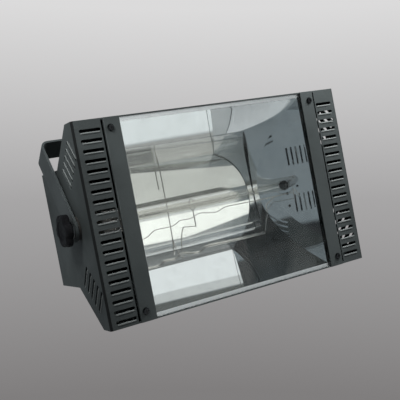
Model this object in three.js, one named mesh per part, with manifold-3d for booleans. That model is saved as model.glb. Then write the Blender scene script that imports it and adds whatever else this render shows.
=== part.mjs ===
// Stage strobe light: folded steel housing with a sloping rear, glass front, mirror trough
// with one long xenon tube, slotted columns at both sides of the glass, rear controls, and a
// U-shaped yoke with two clamp knobs.
//
// Millimetres. +X runs along the tube, +Y from the glass to the rear, +Z up. The housing is
// built from the centre of its front face, and the finished light is moved so that the origin
// is the bolt hole in the yoke, where the light hangs.
import * as THREE from "three";
import { mergeVertices } from "three/addons/utils/BufferGeometryUtils.js";
import Module from "manifold-3d";

const wasm = await Module();
wasm.setup();

// Housing
const HOUSING_WIDTH = 400;
const HOUSING_HEIGHT = 250;
const HOUSING_DEPTH = 150;
const SHOULDER_DEPTH = 23;
const SLOPE_DEPTH = 82;
const REAR_HEIGHT = 152;
const SHEET = 1.5;
const BEND_RADIUS = 3.2;
const LIP_HEIGHT = 3.1;
const END_FLANGE_WIDTH = 12;
const FIT = 0.3;
const OVERRUN = 2;

// Slots of the front columns
const SLOT_LENGTH = 27.5;
const SLOT_HEIGHT = 3.8;
const SLOT_PITCH = 12.05;
const SLOT_SIDE_MARGIN = 8;
const SLOT_BOTTOM_MARGIN = 7.5;
const LEFT_SLOT_TOP_MARGIN = 13;
const RIGHT_SLOT_TOP_MARGIN = 20;
const COLUMN_GAP_WIDTH = 3;
const COLUMN_GAP_END_MARGIN = 2.2;

// Vents of the side plates, square to the sloping edge
const VENT_COUNT = 5;
const VENT_LENGTH = 34;
const VENT_WIDTH = 5;
const VENT_PITCH = 11.5;
const VENT_FIRST = 17;
const VENT_EDGE_GAP = 13.5;

// Glass and its retaining strips
const WINDOW_WIDTH = 278;
const GLASS_THICKNESS = 4;
const GLASS_UNDER_STRIP = 9.5;
const STRIP_WIDTH = 21;
const STRIP_SHEET = 1.2;
const STRIP_SCREW_INSET = 13.5;
const STRIP_SCREW_END_MARGIN = 13;

// Pan-head screws
const SCREW_RADIUS = 2;
const SCREW_CLEARANCE = 0.35;
const SCREW_HEAD_RADIUS = 4.2;
const SCREW_HEAD_EDGE = 1.2;
const SCREW_HEAD_HEIGHT = 2.4;
const SCREW_CROWN_RADIUS = 2.6;
const SCREW_LENGTH = 7;
const RECESS_LENGTH = 4.4;
const RECESS_WIDTH = 1.1;
const RECESS_DEPTH = 1.1;

// Reflector
const REFLECTOR_REAR_ROOM = 62;
const REFLECTOR_MOUTH_MARGIN = 6;
const REFLECTOR_END_ROOM = 44;
const REFLECTOR_SHEET = 1;
const REFLECTOR_STEPS = 24;
const REFLECTOR_END_MARGIN = 6;
const REFLECTOR_END_FLANGE = 3;
const END_LEAN_DEGREES = 24.5;
const END_LEAN_START = 0.8;
const END_SLOT_COUNT = 5;
const END_SLOT_LENGTH = 32;
const END_SLOT_WIDTH = 3;
const END_SLOT_PITCH = 8;
const END_SLOT_LEVEL = 42;
const END_SLOT_DEPTH = 34;
const END_LAMP_HOLE_RADIUS = 9;
const END_WIRE_HOLE_RADIUS = 2;

// Lamp. It stands at the focus of the parabola, a little over halfway into the reflector.
const LAMP_DEPTH_SHARE = 0.52;
const TUBE_RADIUS = 7;
const TUBE_END_ROOM = 18;
const CAP_RADIUS = 6;
const CAP_LENGTH = 30;
const HOLDER_DEPTH = 24;
const HOLDER_HEIGHT = 30;
const HOLDER_THICKNESS = 14;
const CLIP_PLACE = -38;
const CLIP_WIDTH = 4;
const CLIP_SHEET = 0.9;
const CLIP_DROP = 30;
const CLIP_OPENING_DEGREES = 70;
const TRIGGER_WIRE_RADIUS = 0.7;
const TRIGGER_WIRE_LEAD = 3.1;
const LEAD_RADIUS = 1.8;
const LEAD_INSET = 3;
const LEFT_LEAD_LANDING = 17;
const RIGHT_LEAD_LANDING = 9;

// Yoke
const PIVOT_DEPTH = 48;
const YOKE_TILT_DEGREES = 35;
const YOKE_WIDTH = 33;
const YOKE_SHEET = 3;
const YOKE_REACH = 132;
const YOKE_BEND_RADIUS = 8;
const CLAMP_HOLE_RADIUS = 6.25;

// Clamps at the two pivots
const STUD_RADIUS = 4;
const STUD_CLEARANCE = 0.35;
const STUD_LENGTH = 24;
const SPACER_THICKNESS = 3.4;
const SPACER_RADIUS = 15;
const WASHER_RADIUS = 11;
const WASHER_THICKNESS = 1.4;
const KNOB_RADIUS = 21.5;
const KNOB_HEIGHT = 12;
const KNOB_LOBES = 6;
const KNOB_VALLEY_RADIUS = 7.5;
const KNOB_VALLEY_DEPTH = 4.5;
const KNOB_NECK_RADIUS = 12;
const KNOB_NECK_HEIGHT = 3;
const NUT_PLATE_SIDE = 34;
const NUT_PLATE_SHEET = 2.5;
const NUT_CORNER_RADIUS = 7.5;
const NUT_HEIGHT = 6.5;

// Rear panel
const REAR_PANEL_WIDTH = 344;
const REAR_PANEL_HEIGHT = 136;
const REAR_PANEL_OVERLAP = 12;
const REAR_SCREW_INSET = 6;
const CONNECTOR_LEVEL = -26;

// Fan and its guard
const FAN_SIDE = 60;
const FAN_DEPTH = 25;
const FAN_PLACE = 112;
const FAN_BORE_RADIUS = 27.5;
const FAN_HUB_RADIUS = 13;
const FAN_HUB_LENGTH = 17;
const FAN_REAR_WALL = 3;
const FAN_STRUT_WIDTH = 4;
const FAN_AXLE_RADIUS = 2.5;
const FAN_AXLE_CLEARANCE = 0.3;
const FAN_BLADE_COUNT = 7;
const FAN_BLADE_SHEET = 1.6;
const FAN_BLADE_CHORD = 14;
const FAN_BLADE_ROOT = 2;
const FAN_BLADE_PITCH_DEGREES = 38;
const FAN_TIP_CLEARANCE = 1.2;
const GUARD_WIRE_RADIUS = 0.9;
const GUARD_RING_COUNT = 4;
const GUARD_RING_PITCH = 7;
const GUARD_STAND_OFF = 3;
const GUARD_EYE_RADIUS = 4;
const GUARD_EYE_THICKNESS = 1.6;
const GUARD_EYE_SPACING = 50;

// Display window, menu buttons and the board behind them
const DISPLAY_PLACE = -24;
const DISPLAY_LEVEL = 34;
const DISPLAY_WIDTH = 52;
const DISPLAY_HEIGHT = 22;
const DISPLAY_RIM = 1.6;
const DISPLAY_RIM_THICKNESS = 1.2;
const DISPLAY_BODY_DEPTH = 6;
const BUTTON_COUNT = 4;
const BUTTON_LEVEL = 10;
const BUTTON_PITCH = 15;
const BUTTON_RADIUS = 4;
const BUTTON_CLEARANCE = 0.35;
const BUTTON_COLLAR_RADIUS = 5.4;
const BUTTON_COLLAR_THICKNESS = 1.2;
const BUTTON_PROUD = 3;
const BUTTON_STEM = 3;
const BUTTON_TRAVEL = 1.2;
const SWITCH_SIDE = 6;
const SWITCH_HEIGHT = 3.5;
const CONTROL_BOARD_THICKNESS = 1.6;
const CONTROL_BOARD_MARGIN = 7;
const CONTROL_POST_RADIUS = 2.4;

// Three-pin signal sockets
const XLR_IN_PLACE = -132;
const XLR_OUT_PLACE = -96;
const XLR_FLANGE_WIDTH = 26;
const XLR_FLANGE_HEIGHT = 31;
const XLR_FLANGE_THICKNESS = 2.4;
const XLR_BODY_RADIUS = 11.6;
const XLR_BODY_LENGTH = 17;
const XLR_BORE_RADIUS = 9.3;
const XLR_BORE_DEPTH = 14;
const XLR_INSERT_RADIUS = 6.8;
const XLR_INSERT_DROP = 1;
const XLR_CONTACT_RADIUS = 1.2;
const XLR_CONTACT_CIRCLE = 4.4;
const XLR_CONTACT_COUNT = 3;
const XLR_PIN_LENGTH = 10;
const LATCH_LEVEL = 13.2;
const LATCH_WIDTH = 7;
const LATCH_HEIGHT = 2.4;
const LATCH_PROUD = 2;
const LATCH_TRAVEL = 1.4;

// Mains inlet
const INLET_PLACE = -24;
const INLET_FLANGE_WIDTH = 50;
const INLET_FLANGE_HEIGHT = 24;
const INLET_FLANGE_THICKNESS = 3;
const INLET_BODY_DEPTH = 21;
const INLET_CAVITY_WIDTH = 24.6;
const INLET_CAVITY_HEIGHT = 16.6;
const INLET_CAVITY_DEPTH = 17;
const INLET_CORNER = 4.5;
const INLET_WALL = 1.6;
const INLET_PIN_WIDTH = 2;
const INLET_PIN_HEIGHT = 4;
const INLET_PIN_SPACING = 14;
const INLET_PIN_LENGTH = 14;
const INLET_EARTH_LIFT = 4;

// Fuse holder
const FUSE_PLACE = 36;
const FUSE_FLANGE_RADIUS = 8.5;
const FUSE_FLANGE_THICKNESS = 2;
const FUSE_BODY_RADIUS = 6.5;
const FUSE_BODY_LENGTH = 28;
const FUSE_BORE_RADIUS = 4.6;
const FUSE_BORE_DEPTH = 26;
const FUSE_CAP_RADIUS = 7;
const FUSE_CAP_THICKNESS = 4;
const FUSE_CARRIER_RADIUS = 4.2;
const FUSE_CARRIER_LENGTH = 22;
const FUSE_SLOT_WIDTH = 1.4;
const FUSE_SLOT_DEPTH = 1.5;

// Electronics on the floor of the rear box
const BOARD_LEFT = -160;
const BOARD_DEPTH = 50;
const BOARD_THICKNESS = 1.6;
const BOARD_LANDING = 28;
const BOARD_REAR_GAP = 6;
const BOARD_POST_HEIGHT = 8;
const BOARD_POST_RADIUS = 3;
const BOARD_POST_INSET = 5;
const CAPACITOR_COUNT = 4;
const CAPACITOR_RADIUS = 12;
const CAPACITOR_HEIGHT = 34;
const CAPACITOR_GAP = 3;
const CAPACITOR_END_MARGIN = 8;
const COMPONENT_GAP = 6;
const CHOKE_RADIUS = 13;
const CHOKE_SECTION_RADIUS = 6;
const TRANSFORMER_WIDTH = 24;
const TRANSFORMER_DEPTH = 22;
const TRANSFORMER_HEIGHT = 26;
const TRANSFORMER_LUG_RADIUS = 3;
const TRANSFORMER_LUG_HEIGHT = 5;
const HEATSINK_WIDTH = 56;
const HEATSINK_HEIGHT = 70;
const HEATSINK_FAN_GAP = 4.2;
const HEATSINK_BASE = 4;
const HEATSINK_FIN_COUNT = 8;
const HEATSINK_FIN_DEPTH = 20;
const HEATSINK_FIN_SHEET = 1.6;

// Eye for the safety cable
const EYE_WIDTH = 16;
const EYE_SHEET = 2;
const EYE_BASE_DEPTH = 16;
const EYE_HOLE_RADIUS = 4.5;
const EYE_HOLE_RISE = 8;
const EYE_REAR_GAP = 14;

// Fineness of round shapes
const SLOT_STEPS = 3;
const ROUND_SIDES = 24;
const FINE_SIDES = 32;
const SMALL_SIDES = 12;
const WIRE_SIDES = 6;
const LEAD_SIDES = 8;
const BEND_STEPS = 4;
const TRIGGER_WIRE_STEPS = 60;
const LEAD_STEPS = 24;
const MERGE_DISTANCE = 1e-4;
const HEX_SIDES = 6;
const FULL_TURN = 2 * Math.PI;
const QUARTER_TURN = Math.PI / 2;

// Places worked out from the sizes
const halfWidth = HOUSING_WIDTH / 2;
const halfHeight = HOUSING_HEIGHT / 2;
const halfRear = REAR_HEIGHT / 2;
const sideInner = halfWidth - SHEET;
const lipEnd = halfHeight - LIP_HEIGHT;
const shellRear = HOUSING_DEPTH - SHEET - FIT;
const panelInner = HOUSING_DEPTH - SHEET;
const onPanel = HOUSING_DEPTH + FIT;
const windowHalfWidth = WINDOW_WIDTH / 2;
const glassHalfWidth = windowHalfWidth + GLASS_UNDER_STRIP;
const ledgeInner = glassHalfWidth + FIT;
const stripOuter = windowHalfWidth + STRIP_WIDTH;
const stripFace = -FIT - STRIP_SHEET;
const stripScrewX = windowHalfWidth + STRIP_SCREW_INSET;
const stripScrewZ = halfHeight - STRIP_SCREW_END_MARGIN;
const rearScrewX = REAR_PANEL_WIDTH / 2 - REAR_SCREW_INSET;
const rearScrewZ = REAR_PANEL_HEIGHT / 2 - REAR_SCREW_INSET;
const screwHoleRadius = SCREW_RADIUS + SCREW_CLEARANCE;
const reflectorHalf = halfWidth - REFLECTOR_END_ROOM;
const tubeHalf = reflectorHalf - TUBE_END_ROOM;
const mouthHalf = halfHeight - REFLECTOR_MOUTH_MARGIN;
const mouthDepth = GLASS_THICKNESS + FIT;
const reflectorDepth = HOUSING_DEPTH - REFLECTOR_REAR_ROOM;
const parabolaWidth = (mouthHalf * mouthHalf) / (reflectorDepth - mouthDepth);
const lampDepth = LAMP_DEPTH_SHARE * reflectorDepth;
const insideTop = halfHeight - SHEET - FIT;
const endLean = THREE.MathUtils.degToRad(END_LEAN_DEGREES);
const leanFront = windowHalfWidth + END_LEAN_START;
const leanRear = leanFront - (reflectorDepth - mouthDepth) * Math.tan(endLean);
const endPlateInner = reflectorHalf + FIT;
const endPlateOuter = endPlateInner + REFLECTOR_SHEET;
const holderInner = endPlateOuter + FIT;
const holderOuter = holderInner + HOLDER_THICKNESS;
const capInner = tubeHalf + FIT;
const capOuter = capInner + CAP_LENGTH;
const yokeTilt = THREE.MathUtils.degToRad(YOKE_TILT_DEGREES);
const spacerInner = halfWidth + FIT;
const armInner = spacerInner + SPACER_THICKNESS + FIT;
const armOuter = armInner + YOKE_SHEET;
const washerInner = armOuter + FIT;
const knobInner = washerInner + WASHER_THICKNESS + FIT;
const studHoleRadius = STUD_RADIUS + STUD_CLEARANCE;
const floorLevel = -halfRear + SHEET + FIT;
const boardLevel = floorLevel + BOARD_POST_HEIGHT;
const boardTop = boardLevel + BOARD_THICKNESS;
const boardRear = shellRear - SHEET - BOARD_REAR_GAP;
const boardMiddle = boardRear - BOARD_DEPTH / 2;
const onBoard = boardTop + FIT;
const capacitorPitch = 2 * CAPACITOR_RADIUS + CAPACITOR_GAP;
const firstCapacitor = BOARD_LEFT + CAPACITOR_END_MARGIN + CAPACITOR_RADIUS;
const lastCapacitor = firstCapacitor + (CAPACITOR_COUNT - 1) * capacitorPitch;
const chokeReach = CHOKE_RADIUS + CHOKE_SECTION_RADIUS;
const chokePlace = lastCapacitor + CAPACITOR_RADIUS + COMPONENT_GAP + chokeReach;
const transformerPlace = chokePlace + chokeReach + COMPONENT_GAP + TRANSFORMER_WIDTH / 2;
const boardRight = transformerPlace + TRANSFORMER_WIDTH / 2 + BOARD_LANDING;
const buttonHoleRadius = BUTTON_RADIUS + BUTTON_CLEARANCE;
const buttonInner = panelInner - FIT - BUTTON_COLLAR_THICKNESS - BUTTON_STEM;
const switchFace = buttonInner - BUTTON_TRAVEL - FIT;
const controlBoardFace = switchFace - SWITCH_HEIGHT;

// Basic solids, cuts and joins

function toSolid(geometry) {
  const bare = geometry.clone();
  bare.deleteAttribute("normal");
  bare.deleteAttribute("uv");
  const merged = mergeVertices(bare, MERGE_DISTANCE);
  return new wasm.Manifold(
    new wasm.Mesh({
      numProp: 3,
      vertProperties: new Float32Array(merged.attributes.position.array),
      triVerts: new Uint32Array(merged.index.array),
    }),
  );
}

function toGeometry(manifold) {
  const mesh = manifold.getMesh();
  const geometry = new THREE.BufferGeometry();
  geometry.setAttribute("position", new THREE.BufferAttribute(mesh.vertProperties, 3));
  geometry.setIndex(new THREE.BufferAttribute(mesh.triVerts, 1));
  return geometry;
}

function join(...geometries) {
  const [first, ...others] = geometries.map(toSolid);
  return toGeometry(others.reduce((sum, other) => sum.add(other), first));
}

function cut(geometry, tools) {
  const solids = tools.map(toSolid);
  return toGeometry(solids.reduce((rest, tool) => rest.subtract(tool), toSolid(geometry)));
}

function overlap(a, b) {
  return toGeometry(toSolid(a).intersect(toSolid(b)));
}

function box(low, high) {
  const size = high.map((value, axis) => value - low[axis]);
  const middle = high.map((value, axis) => (value + low[axis]) / 2);
  return new THREE.BoxGeometry(...size).translate(...middle);
}

// Turns a drawing so that it runs along an axis. Its two coordinates are then the other two
// axes, in the order x, y, z.
const drawingTurns = {
  x: new THREE.Matrix4().set(0, 0, 1, 0, 1, 0, 0, 0, 0, 1, 0, 0, 0, 0, 0, 1),
  y: new THREE.Matrix4().set(1, 0, 0, 0, 0, 0, -1, 0, 0, 1, 0, 0, 0, 0, 0, 1),
  z: new THREE.Matrix4(),
};

function extrude(axis, shape, from, to, curveSegments = SLOT_STEPS) {
  const settings = { depth: to - from, bevelEnabled: false, curveSegments };
  const start = axis === "y" ? -to : from;
  return new THREE.ExtrudeGeometry(shape, settings)
    .translate(0, 0, start)
    .applyMatrix4(drawingTurns[axis]);
}

function polygon(points) {
  return new THREE.Shape(points.map(([a, b]) => new THREE.Vector2(a, b)));
}

function roundOutline(a, b, radius, count) {
  const points = [];
  for (let i = 0; i < count; i++) {
    const angle = (FULL_TURN * i) / count;
    points.push([a + radius * Math.cos(angle), b + radius * Math.sin(angle)]);
  }
  return points;
}

function rod(axis, [a, b], radius, from, to, count = ROUND_SIDES) {
  return extrude(axis, polygon(roundOutline(a, b, radius, count)), from, to);
}

// A slot with round ends. The angle turns its length away from the first coordinate.
function slot(a, b, length, width, angle = 0) {
  const reach = (length - width) / 2;
  const shiftA = reach * Math.cos(angle);
  const shiftB = reach * Math.sin(angle);
  const start = angle - QUARTER_TURN;
  const turn = angle + QUARTER_TURN;
  return new THREE.Shape()
    .absarc(a + shiftA, b + shiftB, width / 2, start, turn, false)
    .absarc(a - shiftA, b - shiftB, width / 2, turn, turn + Math.PI, false);
}

function mirrorX(geometry) {
  const mirrored = (geometry.index ? geometry.toNonIndexed() : geometry.clone()).scale(-1, 1, 1);
  const position = mirrored.attributes.position;
  const first = new THREE.Vector3();
  const second = new THREE.Vector3();
  for (let i = 0; i < position.count; i += 3) {
    first.fromBufferAttribute(position, i);
    second.fromBufferAttribute(position, i + 1);
    position.setXYZ(i, second.x, second.y, second.z);
    position.setXYZ(i + 1, first.x, first.y, first.z);
  }
  return mirrored;
}

// A bar of round section along a smooth curve through the points.
function wire(points, radius, steps, count) {
  const path = new THREE.CatmullRomCurve3(points.map((point) => new THREE.Vector3(...point)));
  const section = polygon(roundOutline(0, 0, radius, count));
  return new THREE.ExtrudeGeometry(section, { steps, bevelEnabled: false, extrudePath: path });
}

// Finishes and the scene graph

const finishes = {
  powderCoat: { color: 0x2b3030, roughness: 0.55, metalness: 0.2 },
  yokeCoat: { color: 0x2e3333, roughness: 0.5, metalness: 0.2 },
  mirror: { color: 0xd9dcde, roughness: 0.06, metalness: 1 },
  glass: { color: 0xdfe8ea, roughness: 0.04, metalness: 0, transparent: true, opacity: 0.3 },
  quartz: { color: 0xe6e4de, roughness: 0.08, metalness: 0, transparent: true, opacity: 0.5 },
  blackScrew: { color: 0x17191a, roughness: 0.4, metalness: 0.8 },
  steel: { color: 0xb4b6b8, roughness: 0.35, metalness: 1 },
  aluminium: { color: 0xa9adb0, roughness: 0.4, metalness: 1 },
  ceramic: { color: 0xe9e6dc, roughness: 0.6, metalness: 0 },
  blackPlastic: { color: 0x141516, roughness: 0.55, metalness: 0 },
  fibre: { color: 0x1d1d1e, roughness: 0.85, metalness: 0 },
  laminate: { color: 0x2f6b3c, roughness: 0.6, metalness: 0 },
  capacitorSleeve: { color: 0x20242c, roughness: 0.45, metalness: 0 },
  copperWinding: { color: 0x9c5a2c, roughness: 0.4, metalness: 0.8 },
  silicone: { color: 0xd8d2c4, roughness: 0.6, metalness: 0 },
  smokedWindow: { color: 0x2a0d0f, roughness: 0.15, metalness: 0 },
};

const light = new THREE.Group();

function add(name, geometry, finish) {
  const mesh = new THREE.Mesh(geometry, new THREE.MeshStandardMaterial(finishes[finish]));
  mesh.name = name;
  light.add(mesh);
}

// What is drawn at the right-hand end goes to the left-hand end as its mirror image.
const ends = [
  { name: "left", place: mirrorX, slotTopMargin: LEFT_SLOT_TOP_MARGIN, endSlots: END_SLOT_COUNT },
  { name: "right", place: (shape) => shape, slotTopMargin: RIGHT_SLOT_TOP_MARGIN, endSlots: 0 },
];

// Main shell: one sheet folded over the top, the slopes and the rear box

// Depth and height of the housing's upper half, from the front to the rear, at a distance
// inside its outer face.
function upperOutline(inset, front, rear) {
  const slopeAngle = Math.atan2(halfHeight - halfRear, SLOPE_DEPTH - SHOULDER_DEPTH);
  const shift = inset * Math.tan(slopeAngle / 2);
  return [
    [front, halfHeight - inset],
    [SHOULDER_DEPTH - shift, halfHeight - inset],
    [SLOPE_DEPTH - shift, halfRear - inset],
    [rear, halfRear - inset],
  ];
}

function wholeOutline(upper) {
  const lower = upper.map(([depth, height]) => [depth, -height]).reverse();
  return [...upper, ...lower];
}

function makeMainShell() {
  const outer = wholeOutline(upperOutline(0, 0, shellRear));
  const inner = wholeOutline(upperOutline(SHEET, SHEET, shellRear - SHEET)).reverse();
  const lipFront = [[0, lipEnd], ...outer, [0, -lipEnd]];
  const lipRear = [[SHEET, -lipEnd], ...inner, [SHEET, lipEnd]];
  const reach = sideInner - FIT;
  const wrap = extrude("x", polygon([...lipFront, ...lipRear]), -reach, reach);
  const openingX = REAR_PANEL_WIDTH / 2 - REAR_PANEL_OVERLAP;
  const openingZ = REAR_PANEL_HEIGHT / 2 - REAR_PANEL_OVERLAP;
  const opening = box(
    [-openingX, shellRear - SHEET - OVERRUN, -openingZ],
    [openingX, shellRear + OVERRUN, openingZ],
  );
  const beyond = halfHeight + OVERRUN;
  const columnRoom = join(
    box([glassHalfWidth, -OVERRUN, -beyond], [halfWidth, SHEET + FIT, beyond]),
    box([halfWidth - BEND_RADIUS, -OVERRUN, -beyond], [halfWidth, BEND_RADIUS, beyond]),
  );
  const screwHoles = rearScrewPlaces().map(({ x, z }) =>
    rod("y", [x, z], screwHoleRadius, shellRear - SHEET - OVERRUN, shellRear + OVERRUN, SMALL_SIDES),
  );
  return cut(wrap, [opening, columnRoom, mirrorX(columnRoom), ...screwHoles]);
}

// End panels: side plate and slotted front column bent from one sheet, with a flange inside
// the shell

function columnSection() {
  const bend = halfWidth - BEND_RADIUS;
  return new THREE.Shape()
    .moveTo(ledgeInner, 0)
    .lineTo(bend, 0)
    .absarc(bend, BEND_RADIUS, BEND_RADIUS, -QUARTER_TURN, 0, false)
    .lineTo(halfWidth, SHOULDER_DEPTH)
    .lineTo(sideInner, SHOULDER_DEPTH)
    .lineTo(sideInner, BEND_RADIUS)
    .absarc(bend, BEND_RADIUS, BEND_RADIUS - SHEET, 0, -QUARTER_TURN, true)
    .lineTo(ledgeInner, SHEET);
}

function columnSlots(topMargin) {
  const span = HOUSING_HEIGHT - topMargin - SLOT_BOTTOM_MARGIN;
  const count = Math.floor(span / SLOT_PITCH) + 1;
  const x = halfWidth - SLOT_SIDE_MARGIN - SLOT_LENGTH / 2;
  const slots = [];
  for (let i = 0; i < count; i++) {
    const z = halfHeight - topMargin - i * SLOT_PITCH;
    slots.push(extrude("y", slot(x, z, SLOT_LENGTH, SLOT_HEIGHT), -OVERRUN, SHEET + OVERRUN));
  }
  return slots;
}

function sideVents() {
  const along = new THREE.Vector2(SLOPE_DEPTH - SHOULDER_DEPTH, halfRear - halfHeight).normalize();
  const inward = new THREE.Vector2(along.y, -along.x);
  const vents = [];
  for (const up of [1, -1]) {
    for (let i = 0; i < VENT_COUNT; i++) {
      const middle = new THREE.Vector2(SHOULDER_DEPTH, halfHeight)
        .addScaledVector(along, VENT_FIRST + i * VENT_PITCH)
        .addScaledVector(inward, VENT_EDGE_GAP + VENT_LENGTH / 2);
      const angle = Math.atan2(up * inward.y, inward.x);
      const shape = slot(middle.x, up * middle.y, VENT_LENGTH, VENT_WIDTH, angle);
      vents.push(extrude("x", shape, sideInner - OVERRUN, halfWidth + OVERRUN));
    }
  }
  return vents;
}

function makeEndPanel(topMargin) {
  const column = extrude("z", columnSection(), -halfHeight, halfHeight, BEND_STEPS);
  const plateOutline = wholeOutline(upperOutline(0, BEND_RADIUS, HOUSING_DEPTH));
  const sidePlate = extrude("x", polygon(plateOutline), sideInner, halfWidth);
  const flangeInset = SHEET + FIT;
  const flangeFront = SHOULDER_DEPTH / 2;
  const flangeOuter = wholeOutline(upperOutline(flangeInset, flangeFront, shellRear - flangeInset));
  const flangeInner = wholeOutline(
    upperOutline(flangeInset + SHEET, flangeFront, shellRear - flangeInset - SHEET),
  ).reverse();
  const flange = extrude(
    "x",
    polygon([...flangeOuter, ...flangeInner]),
    sideInner - END_FLANGE_WIDTH,
    sideInner + SHEET / 2,
  );
  const pivot = [PIVOT_DEPTH, 0];
  const pivotHole = rod("x", pivot, studHoleRadius, sideInner - OVERRUN, halfWidth + OVERRUN);
  const screwHoles = [stripScrewZ, -stripScrewZ].map((z) =>
    rod("y", [stripScrewX, z], screwHoleRadius, -OVERRUN, SHEET + OVERRUN, SMALL_SIDES),
  );
  const gapStart = stripOuter + FIT;
  const gapZ = halfHeight - COLUMN_GAP_END_MARGIN;
  const gap = box([gapStart, -OVERRUN, -gapZ], [gapStart + COLUMN_GAP_WIDTH, SHEET + OVERRUN, gapZ]);
  const cuts = [...columnSlots(topMargin), ...sideVents(), gap, pivotHole, ...screwHoles];
  return cut(join(column, sidePlate, flange), cuts);
}

// Glass and retaining strips

function makeFrontGlass() {
  const z = lipEnd - FIT;
  return box([-glassHalfWidth, 0, -z], [glassHalfWidth, GLASS_THICKNESS, z]);
}

function makeGlassStrip() {
  const strip = box([windowHalfWidth, stripFace, -halfHeight], [stripOuter, -FIT, halfHeight]);
  const holes = [stripScrewZ, -stripScrewZ].map((z) =>
    rod("y", [stripScrewX, z], screwHoleRadius, stripFace - OVERRUN, OVERRUN, SMALL_SIDES),
  );
  return cut(strip, holes);
}

// Screws: the head rests at depth zero and stands out towards -Y

function makeScrew() {
  const profile = [
    [0, SCREW_LENGTH],
    [SCREW_RADIUS, SCREW_LENGTH],
    [SCREW_RADIUS, 0],
    [SCREW_HEAD_RADIUS, 0],
    [SCREW_HEAD_RADIUS, -SCREW_HEAD_EDGE],
    [SCREW_CROWN_RADIUS, -SCREW_HEAD_HEIGHT],
    [0, -SCREW_HEAD_HEIGHT],
  ].map(([radius, depth]) => new THREE.Vector2(radius, depth));
  const body = new THREE.LatheGeometry(profile.reverse(), SMALL_SIDES);
  const reach = RECESS_LENGTH / 2;
  const half = RECESS_WIDTH / 2;
  const bottom = RECESS_DEPTH - SCREW_HEAD_HEIGHT;
  const top = -SCREW_HEAD_HEIGHT - OVERRUN;
  const level = box([-reach, top, -half], [reach, bottom, half]);
  const upright = box([-half, top, -reach], [half, bottom, reach]);
  return cut(body, [level, upright]);
}

function rearScrewPlaces() {
  const places = [];
  for (const { name, sign } of [{ name: "left", sign: -1 }, { name: "right", sign: 1 }]) {
    places.push({ name: name + "_top", x: sign * rearScrewX, z: rearScrewZ });
    places.push({ name: name + "_bottom", x: sign * rearScrewX, z: -rearScrewZ });
  }
  return places;
}

// Reflector: parabolic trough with front flanges, and two ends that close it

function reflectorDepthAt(height) {
  return reflectorDepth - (height * height) / parabolaWidth;
}

function parabola(reach, outward) {
  const points = [];
  for (let i = 0; i <= REFLECTOR_STEPS; i++) {
    const height = reach - (2 * reach * i) / REFLECTOR_STEPS;
    const lean = (2 * height) / parabolaWidth;
    const length = Math.hypot(1, lean);
    points.push([reflectorDepthAt(height) + outward / length, height + (outward * lean) / length]);
  }
  return points;
}

function makeTrough() {
  const back = mouthDepth + REFLECTOR_SHEET;
  const section = [
    [mouthDepth, insideTop],
    ...parabola(mouthHalf, 0),
    [mouthDepth, -insideTop],
    [back, -insideTop],
    ...parabola(mouthHalf, REFLECTOR_SHEET).reverse(),
    [back, insideTop],
  ];
  return extrude("x", polygon(section), -reflectorHalf, reflectorHalf);
}

// The mirror plate of an end leans inwards with depth, between the trough's walls. A flange
// along the glass ties it to the upright plate behind it, which carries the lamp holder.
function makeMirrorPlate(slotCount) {
  const step = REFLECTOR_SHEET / Math.cos(endLean);
  const section = polygon([
    [leanFront, mouthDepth],
    [leanFront + step, mouthDepth],
    [leanRear + step, reflectorDepth],
    [leanRear, reflectorDepth],
  ]);
  const plate = extrude("z", section, -mouthHalf, mouthHalf);
  const flange = box(
    [leanFront, mouthDepth, -mouthHalf],
    [endPlateOuter, mouthDepth + REFLECTOR_SHEET, mouthHalf],
  );
  const from = leanRear - OVERRUN;
  const room = extrude("x", polygon(parabola(mouthHalf, -FIT)), from, endPlateOuter);
  const wireDepth = lampDepth - TRIGGER_WIRE_LEAD;
  const cuts = [rod("x", [lampDepth, 0], END_LAMP_HOLE_RADIUS, from, endPlateInner)];
  for (const level of [TRIGGER_ROUTE[1][1], TRIGGER_ROUTE.at(-1)[1]]) {
    cuts.push(rod("x", [wireDepth, level], END_WIRE_HOLE_RADIUS, from, endPlateInner, SMALL_SIDES));
  }
  for (const level of [stripScrewZ, -stripScrewZ]) {
    cuts.push(rod("y", [stripScrewX, level], screwHoleRadius, SHEET, reflectorDepth, SMALL_SIDES));
  }
  for (const level of [END_SLOT_LEVEL, -END_SLOT_LEVEL]) {
    for (let i = 0; i < slotCount; i++) {
      const depth = END_SLOT_DEPTH + (i - (END_SLOT_COUNT - 1) / 2) * END_SLOT_PITCH;
      const opening = slot(depth, level, END_SLOT_LENGTH, END_SLOT_WIDTH, QUARTER_TURN);
      cuts.push(extrude("x", opening, from, endPlateInner));
    }
  }
  return cut(overlap(join(plate, flange), room), cuts);
}

function makeReflectorEnd(slotCount) {
  const front = SHEET + FIT;
  const outline = [[front, insideTop]];
  for (let i = 0; i <= REFLECTOR_STEPS; i++) {
    const height = insideTop - (2 * insideTop * i) / REFLECTOR_STEPS;
    outline.push([reflectorDepthAt(height) + REFLECTOR_END_MARGIN, height]);
  }
  outline.push([front, -insideTop]);
  const plate = extrude("x", polygon(outline), endPlateInner, endPlateOuter);
  const flange = box(
    [endPlateInner, front, -insideTop],
    [endPlateOuter + REFLECTOR_END_FLANGE, front + REFLECTOR_SHEET, insideTop],
  );
  const lampHole = rod(
    "x",
    [lampDepth, 0],
    END_LAMP_HOLE_RADIUS,
    endPlateInner - OVERRUN,
    endPlateOuter + OVERRUN,
  );
  return join(cut(join(plate, flange), [lampHole]), makeMirrorPlate(slotCount));
}

// Lamp: tube, end caps, holders, clip, trigger wire and leads

function makeTube() {
  return rod("x", [lampDepth, 0], TUBE_RADIUS, -tubeHalf, tubeHalf);
}

function makeCap() {
  return rod("x", [lampDepth, 0], CAP_RADIUS, capInner, capOuter);
}

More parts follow.
